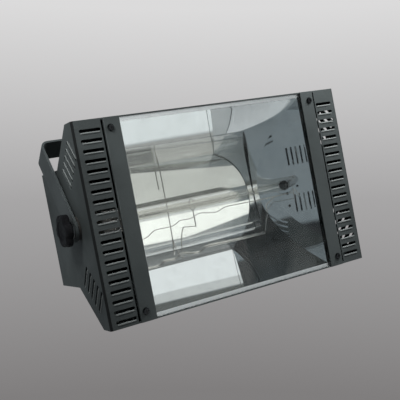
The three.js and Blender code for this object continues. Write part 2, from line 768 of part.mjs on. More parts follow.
function makeHolder() {
  const block = box(
    [holderInner, lampDepth - HOLDER_DEPTH / 2, -HOLDER_HEIGHT / 2],
    [holderOuter, lampDepth + HOLDER_DEPTH / 2, HOLDER_HEIGHT / 2],
  );
  const bore = rod("x", [lampDepth, 0], CAP_RADIUS + FIT, holderInner - OVERRUN, holderOuter + OVERRUN);
  return cut(block, [bore]);
}

function makeLampClip() {
  const inner = TUBE_RADIUS + FIT;
  const outer = inner + CLIP_SHEET;
  const halfOpening = THREE.MathUtils.degToRad(CLIP_OPENING_DEGREES) / 2;
  const ring = new THREE.Shape()
    .absarc(lampDepth, 0, outer, -Math.PI + halfOpening, Math.PI - halfOpening, false)
    .absarc(lampDepth, 0, inner, Math.PI - halfOpening, -Math.PI + halfOpening, true);
  const from = CLIP_PLACE - CLIP_WIDTH / 2;
  const to = CLIP_PLACE + CLIP_WIDTH / 2;
  const legFront = lampDepth - CLIP_SHEET / 2;
  const leg = box([from, legFront, -CLIP_DROP], [to, legFront + CLIP_SHEET, -inner]);
  const footRear = reflectorDepthAt(CLIP_DROP) - FIT;
  const foot = box([from, legFront, -CLIP_DROP], [to, footRear, CLIP_SHEET - CLIP_DROP]);
  return join(extrude("x", ring, from, to, SMALL_SIDES), leg, foot);
}

// The trigger wire's route below the tube, with its bends: each point's place as a share of the
// reflector's half length, and its height. Both ends run on to the end plates.
const TRIGGER_ROUTE = [
  [-0.865, -31.5],
  [-0.769, -30.5],
  [-0.712, -29],
  [-0.679, -25],
  [-0.641, -22.5],
  [-0.551, -22.5],
  [-0.455, -22],
  [-0.417, -18],
  [-0.372, -17],
  [-0.288, -18],
  [-0.237, -15],
  [-0.199, -13],
  [-0.103, -15.5],
  [-0.032, -17],
  [0.013, -15],
  [0.058, -12.5],
  [0.256, -12.5],
  [0.545, -13],
  [0.769, -12.5],
];

function makeTriggerWire() {
  const end = endPlateInner - FIT;
  const bends = TRIGGER_ROUTE.map(([share, z]) => [share * reflectorHalf, z]);
  const first = [-end, bends.at(0)[1]];
  const last = [end, bends.at(-1)[1]];
  const depth = lampDepth - TRIGGER_WIRE_LEAD;
  const route = [first, ...bends, last].map(([x, z]) => [x, depth, z]);
  return wire(route, TRIGGER_WIRE_RADIUS, TRIGGER_WIRE_STEPS, WIRE_SIDES);
}

// Each lead runs from its end cap, round the end of the reflector, down to the board. The
// first list counts from the end cap, the second from where the lead meets the board.
const LEFT_LEAD_START = [
  [0, 0, 0],
  [-6, 0, -1],
  [-12, 4.3, -7],
  [-14, 16.3, -20],
  [-11, 34.3, -38],
];
const LEFT_LEAD_END = [
  [-13, -10, 16.2],
  [-3, -2, 12.2],
  [0, 0, 6.2],
  [0, 0, 0],
];
const RIGHT_LEAD_START = [
  [0, 0, 0],
  [6, 0, -1],
  [12, 4.3, -7],
  [14, 16.3, -22],
  [7, 32.3, -44],
  [-13, 41.3, -58],
];
const RIGHT_LEAD_END = [
  [71, -11, 2.2],
  [35, -10, 4.2],
  [13, -4, 9.2],
  [2, 0, 8.2],
  [0, 0, 4.2],
  [0, 0, 0],
];

function makeLead(sign, startOffsets, endOffsets, endX, endY) {
  const start = [sign * (capOuter + FIT), lampDepth, 0];
  const end = [endX, endY, onBoard];
  const from = (place) => (offset) => offset.map((value, axis) => value + place[axis]);
  const route = [...startOffsets.map(from(start)), ...endOffsets.map(from(end))];
  return wire(route, LEAD_RADIUS, LEAD_STEPS, LEAD_SIDES);
}

// Yoke: flat bar bent to a U, drawn upright at the pivot and then tilted back

function makeYoke() {
  const top = YOKE_REACH;
  const outerBend = YOKE_BEND_RADIUS + YOKE_SHEET;
  const bendX = armInner - YOKE_BEND_RADIUS;
  const bendZ = top - outerBend;
  const section = new THREE.Shape()
    .moveTo(armOuter, 0)
    .lineTo(armOuter, bendZ)
    .absarc(bendX, bendZ, outerBend, 0, QUARTER_TURN, false)
    .lineTo(-bendX, top)
    .absarc(-bendX, bendZ, outerBend, QUARTER_TURN, Math.PI, false)
    .lineTo(-armOuter, 0)
    .lineTo(-armInner, 0)
    .lineTo(-armInner, bendZ)
    .absarc(-bendX, bendZ, YOKE_BEND_RADIUS, Math.PI, QUARTER_TURN, true)
    .lineTo(bendX, top - YOKE_SHEET)
    .absarc(bendX, bendZ, YOKE_BEND_RADIUS, QUARTER_TURN, 0, true)
    .lineTo(armInner, 0);
  const bar = extrude("y", section, -YOKE_WIDTH / 2, YOKE_WIDTH / 2, BEND_STEPS);
  const armEnd = rod("x", [0, 0], YOKE_WIDTH / 2, armInner, armOuter, FINE_SIDES);
  const pivotHole = rod("x", [0, 0], studHoleRadius, armInner - OVERRUN, armOuter + OVERRUN);
  const clampHole = rod("z", [0, 0], CLAMP_HOLE_RADIUS, top - YOKE_SHEET - OVERRUN, top + OVERRUN);
  const blank = join(bar, armEnd, mirrorX(armEnd));
  const yoke = cut(blank, [pivotHole, mirrorX(pivotHole), clampHole]);
  return yoke.rotateX(-yokeTilt).translate(0, PIVOT_DEPTH, 0);
}

// Clamps: spacer and nut at the side plate, washer and star knob outside the yoke arm

function pivotRing(radius, from, thickness) {
  const centre = [PIVOT_DEPTH, 0];
  const disc = rod("x", centre, radius, from, from + thickness);
  const bore = rod("x", centre, studHoleRadius, from - OVERRUN, from + thickness + OVERRUN);
  return cut(disc, [bore]);
}

function makePivotNut() {
  const plateOuter = sideInner - FIT;
  const plateInner = plateOuter - NUT_PLATE_SHEET;
  const half = NUT_PLATE_SIDE / 2;
  const plate = box([plateInner, PIVOT_DEPTH - half, -half], [plateOuter, PIVOT_DEPTH + half, half]);
  const nutInner = plateInner - NUT_HEIGHT;
  const nut = rod("x", [PIVOT_DEPTH, 0], NUT_CORNER_RADIUS, nutInner, plateOuter, HEX_SIDES);
  const bore = rod("x", [PIVOT_DEPTH, 0], studHoleRadius, nutInner - OVERRUN, plateOuter + OVERRUN);
  return cut(join(plate, nut), [bore]);
}

function makeClampKnob() {
  const neckOuter = knobInner + KNOB_NECK_HEIGHT;
  const knobOuter = knobInner + KNOB_HEIGHT;
  const centre = [PIVOT_DEPTH, 0];
  const head = rod("x", centre, KNOB_RADIUS, neckOuter, knobOuter, FINE_SIDES);
  const valleyCircle = KNOB_RADIUS + KNOB_VALLEY_RADIUS - KNOB_VALLEY_DEPTH;
  const valleys = roundOutline(...centre, valleyCircle, KNOB_LOBES).map((place) =>
    rod("x", place, KNOB_VALLEY_RADIUS, neckOuter - OVERRUN, knobOuter + OVERRUN, SMALL_SIDES),
  );
  const neck = rod("x", centre, KNOB_NECK_RADIUS, knobInner, neckOuter + OVERRUN);
  const stud = rod("x", centre, STUD_RADIUS, knobInner - STUD_LENGTH, neckOuter, ROUND_SIDES);
  return join(cut(head, valleys), neck, stud);
}

// Rear panel with its openings

function makeRearPanel() {
  const x = REAR_PANEL_WIDTH / 2;
  const z = REAR_PANEL_HEIGHT / 2;
  const from = panelInner - OVERRUN;
  const to = HOUSING_DEPTH + OVERRUN;
  const hole = (place, radius, count = ROUND_SIDES) => rod("y", place, radius, from, to, count);
  const displayX = DISPLAY_WIDTH / 2 + FIT;
  const displayZ = DISPLAY_HEIGHT / 2 + FIT;
  const openings = [
    hole([FAN_PLACE, 0], FAN_BORE_RADIUS, FINE_SIDES),
    hole([XLR_IN_PLACE, CONNECTOR_LEVEL], XLR_BODY_RADIUS + FIT),
    hole([XLR_OUT_PLACE, CONNECTOR_LEVEL], XLR_BODY_RADIUS + FIT),
    hole([FUSE_PLACE, CONNECTOR_LEVEL], FUSE_BODY_RADIUS + FIT),
    extrude("y", inletOutline(INLET_WALL + FIT), from, to),
    box(
      [DISPLAY_PLACE - displayX, from, DISPLAY_LEVEL - displayZ],
      [DISPLAY_PLACE + displayX, to, DISPLAY_LEVEL + displayZ],
    ),
    latchBox(FIT, from, to),
    ...buttonPlaces().map((place) => hole(place, buttonHoleRadius, SMALL_SIDES)),
    ...rearScrewPlaces().map((place) => hole([place.x, place.z], screwHoleRadius, SMALL_SIDES)),
  ];
  return cut(box([-x, panelInner, -z], [x, HOUSING_DEPTH, z]), openings);
}

// Fan

const fanRear = panelInner - FIT;
const fanFront = fanRear - FAN_DEPTH;

function makeFanFrame() {
  const half = FAN_SIDE / 2;
  const block = box([FAN_PLACE - half, fanFront, -half], [FAN_PLACE + half, fanRear, half]);
  const centre = [FAN_PLACE, 0];
  const bore = rod("y", centre, FAN_BORE_RADIUS, fanFront - OVERRUN, fanRear + OVERRUN, FINE_SIDES);
  const wallFront = fanRear - FAN_REAR_WALL;
  const hub = rod("y", centre, FAN_HUB_RADIUS, wallFront, fanRear);
  const strut = FAN_STRUT_WIDTH / 2;
  const level = box([FAN_PLACE - half, wallFront, -strut], [FAN_PLACE + half, fanRear, strut]);
  const upright = box([FAN_PLACE - strut, wallFront, -half], [FAN_PLACE + strut, fanRear, half]);
  const axleFront = wallFront - FIT - FAN_HUB_LENGTH;
  const axle = rod("y", centre, FAN_AXLE_RADIUS, axleFront, wallFront, SMALL_SIDES);
  return join(cut(block, [bore]), hub, level, upright, axle);
}

function makeFanRotor() {
  const hubRear = fanRear - FAN_REAR_WALL - FIT;
  const hubFront = hubRear - FAN_HUB_LENGTH;
  const hub = rod("y", [0, 0], FAN_HUB_RADIUS, hubFront, hubRear);
  const boreRadius = FAN_AXLE_RADIUS + FAN_AXLE_CLEARANCE;
  const bore = rod("y", [0, 0], boreRadius, hubFront - OVERRUN, hubRear + OVERRUN, SMALL_SIDES);
  const root = FAN_HUB_RADIUS - FAN_BLADE_ROOT;
  const tip = FAN_BORE_RADIUS - FAN_TIP_CLEARANCE;
  const pitch = THREE.MathUtils.degToRad(FAN_BLADE_PITCH_DEGREES);
  const blades = [];
  for (let i = 0; i < FAN_BLADE_COUNT; i++) {
    const blade = box(
      [root, -FAN_BLADE_CHORD / 2, -FAN_BLADE_SHEET / 2],
      [tip, FAN_BLADE_CHORD / 2, FAN_BLADE_SHEET / 2],
    );
    const turn = (FULL_TURN * i) / FAN_BLADE_COUNT;
    blades.push(blade.rotateX(pitch).rotateY(turn).translate(0, (hubFront + hubRear) / 2, 0));
  }
  return cut(join(hub, ...blades), [bore]).translate(FAN_PLACE, 0, 0);
}

function makeFanGuard() {
  const wirePlane = onPanel + GUARD_STAND_OFF + GUARD_WIRE_RADIUS;
  const rings = [];
  for (let i = 1; i <= GUARD_RING_COUNT; i++) {
    const section = roundOutline(i * GUARD_RING_PITCH, wirePlane, GUARD_WIRE_RADIUS, WIRE_SIDES);
    const closed = [...section, section[0]].map(([radius, depth]) => new THREE.Vector2(radius, depth));
    rings.push(new THREE.LatheGeometry(closed, FINE_SIDES));
  }
  const eyePlace = GUARD_EYE_SPACING / 2;
  const barHalf = Math.hypot(eyePlace, eyePlace);
  const bars = [];
  for (const turn of [QUARTER_TURN / 2, -QUARTER_TURN / 2]) {
    bars.push(rod("x", [wirePlane, 0], GUARD_WIRE_RADIUS, -barHalf, barHalf, LEAD_SIDES).rotateY(turn));
  }
  const eyeRear = onPanel + GUARD_EYE_THICKNESS;
  const footRear = wirePlane + GUARD_WIRE_RADIUS;
  const feet = [];
  for (const x of [eyePlace, -eyePlace]) {
    for (const z of [eyePlace, -eyePlace]) {
      feet.push(rod("y", [x, z], GUARD_EYE_RADIUS, onPanel, eyeRear, SMALL_SIDES));
      feet.push(rod("y", [x, z], GUARD_WIRE_RADIUS, onPanel, footRear, LEAD_SIDES));
    }
  }
  return join(...rings, ...bars, ...feet).translate(FAN_PLACE, 0, 0);
}

// Display window, buttons and their board

function makeDisplayWindow() {
  const rimX = DISPLAY_WIDTH / 2 + DISPLAY_RIM;
  const rimZ = DISPLAY_HEIGHT / 2 + DISPLAY_RIM;
  const rim = box([-rimX, onPanel, -rimZ], [rimX, onPanel + DISPLAY_RIM_THICKNESS, rimZ]);
  const body = box(
    [-DISPLAY_WIDTH / 2, controlBoardFace + FIT, -DISPLAY_HEIGHT / 2],
    [DISPLAY_WIDTH / 2, onPanel + DISPLAY_RIM_THICKNESS, DISPLAY_HEIGHT / 2],
  );
  return join(rim, body).translate(DISPLAY_PLACE, 0, DISPLAY_LEVEL);
}

function buttonPlaces() {
  const places = [];
  for (let i = 0; i < BUTTON_COUNT; i++) {
    const x = DISPLAY_PLACE - (i - (BUTTON_COUNT - 1) / 2) * BUTTON_PITCH;
    places.push([x, BUTTON_LEVEL]);
  }
  return places;
}

function makeButton(place) {
  const collarRear = panelInner - FIT;
  const stem = rod("y", place, BUTTON_RADIUS, buttonInner, HOUSING_DEPTH + BUTTON_PROUD);
  const collarFront = collarRear - BUTTON_COLLAR_THICKNESS;
  return join(stem, rod("y", place, BUTTON_COLLAR_RADIUS, collarFront, collarRear));
}

function makeControlBoard() {
  const halfBoard = DISPLAY_WIDTH / 2 + CONTROL_BOARD_MARGIN;
  const top = DISPLAY_LEVEL + DISPLAY_HEIGHT / 2 + CONTROL_BOARD_MARGIN;
  const bottom = BUTTON_LEVEL - BUTTON_COLLAR_RADIUS - CONTROL_BOARD_MARGIN;
  const low = [DISPLAY_PLACE - halfBoard, controlBoardFace - CONTROL_BOARD_THICKNESS, bottom];
  const high = [DISPLAY_PLACE + halfBoard, controlBoardFace, top];
  const switches = buttonPlaces().map(([x, z]) =>
    box(
      [x - SWITCH_SIDE / 2, controlBoardFace - FIT, z - SWITCH_SIDE / 2],
      [x + SWITCH_SIDE / 2, switchFace, z + SWITCH_SIDE / 2],
    ),
  );
  const posts = [];
  for (const x of [low[0] + CONTROL_POST_RADIUS, high[0] - CONTROL_POST_RADIUS]) {
    for (const z of [bottom + CONTROL_POST_RADIUS, top - CONTROL_POST_RADIUS]) {
      posts.push(rod("y", [x, z], CONTROL_POST_RADIUS, low[1], panelInner - FIT, SMALL_SIDES));
    }
  }
  return join(box(low, high), ...switches, ...posts);
}

// Signal sockets: the one in holds pins, the one out has contact holes and a latch

function contactPlaces(x) {
  return roundOutline(x, CONNECTOR_LEVEL, XLR_CONTACT_CIRCLE, XLR_CONTACT_COUNT);
}

function makeSocketShell(x) {
  const face = onPanel + XLR_FLANGE_THICKNESS;
  const flange = box(
    [x - XLR_FLANGE_WIDTH / 2, onPanel, CONNECTOR_LEVEL - XLR_FLANGE_HEIGHT / 2],
    [x + XLR_FLANGE_WIDTH / 2, face, CONNECTOR_LEVEL + XLR_FLANGE_HEIGHT / 2],
  );
  const centre = [x, CONNECTOR_LEVEL];
  const body = rod("y", centre, XLR_BODY_RADIUS, face - XLR_BODY_LENGTH, face);
  const bore = rod("y", centre, XLR_BORE_RADIUS, face - XLR_BORE_DEPTH, face + OVERRUN);
  return cut(join(flange, body), [bore]);
}

function makeSocketIn() {
  const floor = onPanel + XLR_FLANGE_THICKNESS - XLR_BORE_DEPTH;
  const pins = contactPlaces(XLR_IN_PLACE).map((place) =>
    rod("y", place, XLR_CONTACT_RADIUS, floor - OVERRUN, floor + XLR_PIN_LENGTH, LEAD_SIDES),
  );
  return join(makeSocketShell(XLR_IN_PLACE), ...pins);
}

function makeSocketOut() {
  const face = onPanel + XLR_FLANGE_THICKNESS;
  const floor = face - XLR_BORE_DEPTH;
  const centre = [XLR_OUT_PLACE, CONNECTOR_LEVEL];
  const insert = rod("y", centre, XLR_INSERT_RADIUS, floor - OVERRUN, face - XLR_INSERT_DROP);
  const holes = contactPlaces(XLR_OUT_PLACE).map((place) =>
    rod("y", place, XLR_CONTACT_RADIUS + FIT, face - XLR_PIN_LENGTH, face + OVERRUN, LEAD_SIDES),
  );
  const latchRoom = latchBox(FIT, onPanel - OVERRUN, face + OVERRUN);
  return cut(join(makeSocketShell(XLR_OUT_PLACE), insert), [...holes, latchRoom]);
}

function latchBox(clearance, from, to) {
  const x = LATCH_WIDTH / 2 + clearance;
  const z = LATCH_HEIGHT / 2 + clearance;
  const level = CONNECTOR_LEVEL + LATCH_LEVEL;
  return box([XLR_OUT_PLACE - x, from, level - z], [XLR_OUT_PLACE + x, to, level + z]);
}

function makeLatch() {
  const inner = panelInner + FIT;
  return latchBox(0, inner, onPanel + XLR_FLANGE_THICKNESS + LATCH_PROUD);
}

// Mains inlet

function inletOutline(wall) {
  const x = INLET_CAVITY_WIDTH / 2 + wall;
  const z = INLET_CAVITY_HEIGHT / 2 + wall;
  const points = [
    [-x, -z],
    [x, -z],
    [x, z - INLET_CORNER],
    [x - INLET_CORNER, z],
    [INLET_CORNER - x, z],
    [-x, z - INLET_CORNER],
  ];
  return polygon(points.map(([a, b]) => [INLET_PLACE + a, CONNECTOR_LEVEL + b]));
}

function makeInlet() {
  const face = onPanel + INLET_FLANGE_THICKNESS;
  const floor = face - INLET_CAVITY_DEPTH;
  const flange = box(
    [INLET_PLACE - INLET_FLANGE_WIDTH / 2, onPanel, CONNECTOR_LEVEL - INLET_FLANGE_HEIGHT / 2],
    [INLET_PLACE + INLET_FLANGE_WIDTH / 2, face, CONNECTOR_LEVEL + INLET_FLANGE_HEIGHT / 2],
  );
  const body = extrude("y", inletOutline(INLET_WALL), face - INLET_BODY_DEPTH, face);
  const cavity = extrude("y", inletOutline(0), floor, face + OVERRUN);
  const pinPlaces = [
    [-INLET_PIN_SPACING / 2, -INLET_EARTH_LIFT / 2],
    [0, INLET_EARTH_LIFT / 2],
    [INLET_PIN_SPACING / 2, -INLET_EARTH_LIFT / 2],
  ];
  const pinX = INLET_PIN_WIDTH / 2;
  const pinZ = INLET_PIN_HEIGHT / 2;
  const pins = pinPlaces.map(([x, z]) =>
    box([x - pinX, floor - OVERRUN, z - pinZ], [x + pinX, floor + INLET_PIN_LENGTH, z + pinZ]),
  );
  const placedPins = pins.map((pin) => pin.translate(INLET_PLACE, 0, CONNECTOR_LEVEL));
  return join(cut(join(flange, body), [cavity]), ...placedPins);
}

// Fuse holder and its cap with the fuse carrier

function makeFuseHolder() {
  const centre = [FUSE_PLACE, CONNECTOR_LEVEL];
  const face = onPanel + FUSE_FLANGE_THICKNESS;
  const flange = rod("y", centre, FUSE_FLANGE_RADIUS, onPanel, face);
  const body = rod("y", centre, FUSE_BODY_RADIUS, onPanel - FUSE_BODY_LENGTH, onPanel + FIT);
  const bore = rod("y", centre, FUSE_BORE_RADIUS, face - FUSE_BORE_DEPTH, face + OVERRUN);
  return cut(join(flange, body), [bore]);
}

function makeFuseCap() {
  const centre = [FUSE_PLACE, CONNECTOR_LEVEL];
  const inner = onPanel + FUSE_FLANGE_THICKNESS + FIT;
  const outer = inner + FUSE_CAP_THICKNESS;
  const cap = rod("y", centre, FUSE_CAP_RADIUS, inner, outer);
  const carrierFront = inner - FUSE_CARRIER_LENGTH;
  const carrier = rod("y", centre, FUSE_CARRIER_RADIUS, carrierFront, inner + FIT, SMALL_SIDES);
  const half = FUSE_SLOT_WIDTH / 2;
  const slotCut = box(
    [FUSE_PLACE - FUSE_CAP_RADIUS - OVERRUN, outer - FUSE_SLOT_DEPTH, CONNECTOR_LEVEL - half],
    [FUSE_PLACE + FUSE_CAP_RADIUS + OVERRUN, outer + OVERRUN, CONNECTOR_LEVEL + half],
  );
  return cut(join(cap, carrier), [slotCut]);
}

// Electronics

function makeCircuitBoard() {
  const board = box(
    [BOARD_LEFT, boardRear - BOARD_DEPTH, boardLevel],
    [boardRight, boardRear, boardTop],
  );
  const posts = [];
  for (const x of [BOARD_LEFT + BOARD_POST_INSET, boardRight - BOARD_POST_INSET]) {
    for (const y of [boardRear - BOARD_DEPTH + BOARD_POST_INSET, boardRear - BOARD_POST_INSET]) {
      posts.push(rod("z", [x, y], BOARD_POST_RADIUS, floorLevel, boardTop, SMALL_SIDES));
    }
  }
  return join(board, ...posts);
}

function makeCapacitor(i) {
  const x = firstCapacitor + i * capacitorPitch;
  return rod("z", [x, boardMiddle], CAPACITOR_RADIUS, onBoard, onBoard + CAPACITOR_HEIGHT);
}

function makeChoke() {
  const section = roundOutline(CHOKE_RADIUS, 0, CHOKE_SECTION_RADIUS, SMALL_SIDES);
  const closed = [...section, section[0]].map(([radius, level]) => new THREE.Vector2(radius, level));
  const ring = new THREE.LatheGeometry(closed, ROUND_SIDES);
  return ring.rotateX(QUARTER_TURN).translate(chokePlace, boardMiddle, onBoard + CHOKE_SECTION_RADIUS);
}

function makeTransformer() {
  const top = onBoard + TRANSFORMER_HEIGHT;
  const block = box(
    [transformerPlace - TRANSFORMER_WIDTH / 2, boardMiddle - TRANSFORMER_DEPTH / 2, onBoard],
    [transformerPlace + TRANSFORMER_WIDTH / 2, boardMiddle + TRANSFORMER_DEPTH / 2, top],
  );
  const lug = rod(
    "z",
    [transformerPlace, boardMiddle],
    TRANSFORMER_LUG_RADIUS,
    top - FIT,
    top + TRANSFORMER_LUG_HEIGHT,
    SMALL_SIDES,
  );
  return join(block, lug);
}

function makeHeatsink() {
  const left = FAN_PLACE - HEATSINK_WIDTH / 2;
  const top = floorLevel + HEATSINK_HEIGHT;
  const finRear = fanFront - HEATSINK_FAN_GAP;
  const baseRear = finRear - HEATSINK_FIN_DEPTH;
  const front = baseRear - HEATSINK_BASE;
  const pieces = [box([left, front, floorLevel], [left + HEATSINK_WIDTH, baseRear, top])];
  const pitch = (HEATSINK_WIDTH - HEATSINK_FIN_SHEET) / (HEATSINK_FIN_COUNT - 1);
  for (let i = 0; i < HEATSINK_FIN_COUNT; i++) {
    const x = left + i * pitch;
    pieces.push(box([x, front, floorLevel], [x + HEATSINK_FIN_SHEET, finRear, top]));
  }
  return join(...pieces);
}

// Safety eye: an angle on the roof of the rear box

function makeSafetyEye() {
  const base = halfRear + FIT;
  const rear = shellRear - EYE_REAR_GAP + EYE_SHEET;
  const front = rear - EYE_SHEET;
  const holeLevel = base + EYE_HOLE_RISE;
  const half = EYE_WIDTH / 2;
  const foot = box([-half, rear - EYE_BASE_DEPTH, base], [half, rear, base + EYE_SHEET]);
  const upright = box([-half, front, base], [half, rear, holeLevel]);
  const crown = rod("y", [0, holeLevel], half, front, rear);
  const hole = rod("y", [0, holeLevel], EYE_HOLE_RADIUS, front - OVERRUN, rear + OVERRUN);
  return cut(join(foot, upright, crown), [hole]);
}

// The whole light

add("main_shell", makeMainShell(), "powderCoat");
add("rear_panel", makeRearPanel(), "powderCoat");
add("front_glass", makeFrontGlass(), "glass");
add("reflector_trough", makeTrough(), "mirror");
add("lamp_tube", makeTube(), "quartz");
add("lamp_clip", makeLampClip(), "steel");
add("trigger_wire", makeTriggerWire(), "steel");
add("yoke", makeYoke(), "yokeCoat");
add("safety_eye", makeSafetyEye(), "yokeCoat");

for (const { name, place, slotTopMargin, endSlots } of ends) {
  add("end_panel_" + name, place(makeEndPanel(slotTopMargin)), "powderCoat");
  add("glass_strip_" + name, place(makeGlassStrip()), "powderCoat");
  add("reflector_end_" + name, place(makeReflectorEnd(endSlots)), "mirror");
  add("lamp_cap_" + name, place(makeCap()), "steel");
  add("lamp_holder_" + name, place(makeHolder()), "ceramic");
  add("pivot_nut_" + name, place(makePivotNut()), "steel");
  add("spacer_washer_" + name, place(pivotRing(SPACER_RADIUS, spacerInner, SPACER_THICKNESS)), "fibre");
  add("outer_washer_" + name, place(pivotRing(WASHER_RADIUS, washerInner, WASHER_THICKNESS)), "steel");
  add("clamp_knob_" + name, place(makeClampKnob()), "blackPlastic");
  for (const [level, sign] of [["top", 1], ["bottom", -1]]) {
    const screw = makeScrew().translate(stripScrewX, stripFace - FIT, sign * stripScrewZ);
    add("strip_screw_" + name + "_" + level, place(screw), "blackScrew");
  }
}

const boardFront = boardRear - BOARD_DEPTH;
const leftLead = makeLead(
  -1,
  LEFT_LEAD_START,
  LEFT_LEAD_END,
  BOARD_LEFT + LEAD_INSET,
  boardFront + LEFT_LEAD_LANDING,
);
const rightLead = makeLead(
  1,
  RIGHT_LEAD_START,
  RIGHT_LEAD_END,
  boardRight - BOARD_POST_INSET,
  boardFront + RIGHT_LEAD_LANDING,
);
add("lamp_lead_left", leftLead, "silicone");
add("lamp_lead_right", rightLead, "silicone");

for (const { name, x, z } of rearScrewPlaces()) {
  add("rear_screw_" + name, makeScrew().rotateX(Math.PI).translate(x, onPanel, z), "blackScrew");
}

add("fan_frame", makeFanFrame(), "blackPlastic");
add("fan_rotor", makeFanRotor(), "blackPlastic");
add("fan_guard", makeFanGuard(), "blackScrew");
add("display_window", makeDisplayWindow(), "smokedWindow");
add("control_board", makeControlBoard(), "laminate");
buttonPlaces().forEach((place, i) => add("menu_button_" + (i + 1), makeButton(place), "blackPlastic"));
add("signal_socket_in", makeSocketIn(), "blackPlastic");
add("signal_socket_out", makeSocketOut(), "blackPlastic");
add("socket_latch", makeLatch(), "steel");
add("mains_inlet", makeInlet(), "blackPlastic");
add("fuse_holder", makeFuseHolder(), "blackPlastic");
add("fuse_cap", makeFuseCap(), "blackPlastic");
add("circuit_board", makeCircuitBoard(), "laminate");
for (let i = 0; i < CAPACITOR_COUNT; i++) {
  add("capacitor_" + (i + 1), makeCapacitor(i), "capacitorSleeve");
}
add("choke", makeChoke(), "copperWinding");
add("trigger_transformer", makeTransformer(), "blackPlastic");
add("heatsink", makeHeatsink(), "aluminium");

light.position.set(
  0,
  -PIVOT_DEPTH - YOKE_REACH * Math.sin(yokeTilt),
  -YOKE_REACH * Math.cos(yokeTilt),
);

export default light;
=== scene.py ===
"""Looks of a stage strobe light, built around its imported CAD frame.

Every new piece is drawn in millimetres from the centre of the housing's front face (X along the
tube, Y towards the rear, Z up) and moved into the frame's metres when it is finished.
"""

import logging
import math
from collections.abc import Callable, Sequence
from dataclasses import dataclass
from enum import Enum

import bmesh
import bpy
from mathutils import Matrix, Vector


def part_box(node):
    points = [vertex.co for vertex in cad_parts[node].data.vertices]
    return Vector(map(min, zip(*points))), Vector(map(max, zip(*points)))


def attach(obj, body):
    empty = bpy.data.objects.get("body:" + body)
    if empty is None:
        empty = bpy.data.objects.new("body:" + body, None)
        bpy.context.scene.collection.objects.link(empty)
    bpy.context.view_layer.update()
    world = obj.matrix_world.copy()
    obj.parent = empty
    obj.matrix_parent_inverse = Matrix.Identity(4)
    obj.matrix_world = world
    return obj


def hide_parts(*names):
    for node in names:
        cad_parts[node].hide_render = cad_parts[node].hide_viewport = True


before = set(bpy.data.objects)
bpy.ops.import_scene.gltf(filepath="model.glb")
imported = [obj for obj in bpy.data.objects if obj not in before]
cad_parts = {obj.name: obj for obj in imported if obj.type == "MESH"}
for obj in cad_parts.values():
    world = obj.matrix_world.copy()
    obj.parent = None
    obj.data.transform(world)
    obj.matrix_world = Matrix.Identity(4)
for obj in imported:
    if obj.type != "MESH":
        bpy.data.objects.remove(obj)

log = logging.getLogger("strobe")

MM = 0.001
PANE_LOW, PANE_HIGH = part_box("front_glass")
FRONT_CENTRE = Vector((0.0, PANE_LOW.y, (PANE_LOW.z + PANE_HIGH.z) / 2))
WEAR = "edge_wear"
MERGED = 0.002
FLAT = math.radians(0.6)
SHORTEST_EDGE = 1.2
RANGE_INPUTS = ("Value", "From Min", "From Max", "To Min", "To Max")

Colour = tuple[float, float, float]
Point = tuple[float, float, float]
Span = tuple[float, float]
Profile = Sequence[tuple[float, float]]
Stops = Sequence[tuple[float, Colour]]
Mesh = bmesh.types.BMesh
Material = bpy.types.Material
Socket = bpy.types.NodeSocket
Source = Socket | float | Colour | None
Inputs = dict[str | int, Source]


class Side(Enum):
    """An end of the light, with its sign along X."""

    LEFT = -1
    RIGHT = 1

    @property
    def label(self) -> str:
        """Name of the side as the node names spell it."""
        return self.name.lower()


class Axis(Enum):
    """A direction that a turned shape or a metal's grain can have."""

    X = "X"
    Y = "Y"
    Z = "Z"


# Materials


class Nodes:
    """An emptied node tree, with short ways to fill it."""

    def __init__(self, tree: bpy.types.NodeTree) -> None:
        """Empties the tree."""
        self.tree = tree
        tree.nodes.clear()

    def add(self, kind: str, inputs: Inputs, out: str | int = 0, **settings: str) -> Socket:
        """Adds a node.

        Args:
            kind: the node's type name, after ShaderNode.
            inputs: a socket or a plain value for each input that is fed.
            out: the output that is wanted.
            settings: attributes to set on the node.

        Returns:
            The output's socket.
        """
        node = self.tree.nodes.new("ShaderNode" + kind)
        for key, value in settings.items():
            setattr(node, key, value)
        for key, source in inputs.items():
            target = node.inputs[key]
            if isinstance(source, Socket):
                self.tree.links.new(source, target)
            elif source is not None:
                target.default_value = (*source, 1.0) if target.type == "RGBA" else source
        return node.outputs[out]

    def show(self, kind: str, shader: Socket) -> None:
        """Ends the tree with an output of that kind, which shows the shader."""
        output = self.tree.nodes.new("ShaderNodeOutput" + kind)
        self.tree.links.new(shader, output.inputs["Surface"])

    def calc(self, operation: str, first: Socket, second: Socket | float | None = None) -> Socket:
        """Works out a value from one or two others."""
        return self.add("Math", {0: first, 1: second}, operation=operation)

    def remap(self, value: Socket, span: Span, to: Span = (0.0, 1.0), kind: str = "LINEAR") -> Socket:
        """Maps a value from one range to another, clamped."""
        inputs = dict(zip(RANGE_INPUTS, (value, *span, *to)))
        return self.add("MapRange", inputs, "Result", interpolation_type=kind)

    def blend(self, share: Socket, first: Source, second: Source) -> Socket:
        """Mixes two colours, by the share of the second."""
        return self.add("Mix", {0: share, 6: first, 7: second}, 2, data_type="RGBA")

    def layer(self, share: Socket, below: Socket, above: Socket) -> Socket:
        """Mixes two shaders, by the share of the one above."""
        return self.add("MixShader", {0: share, 1: below, 2: above})


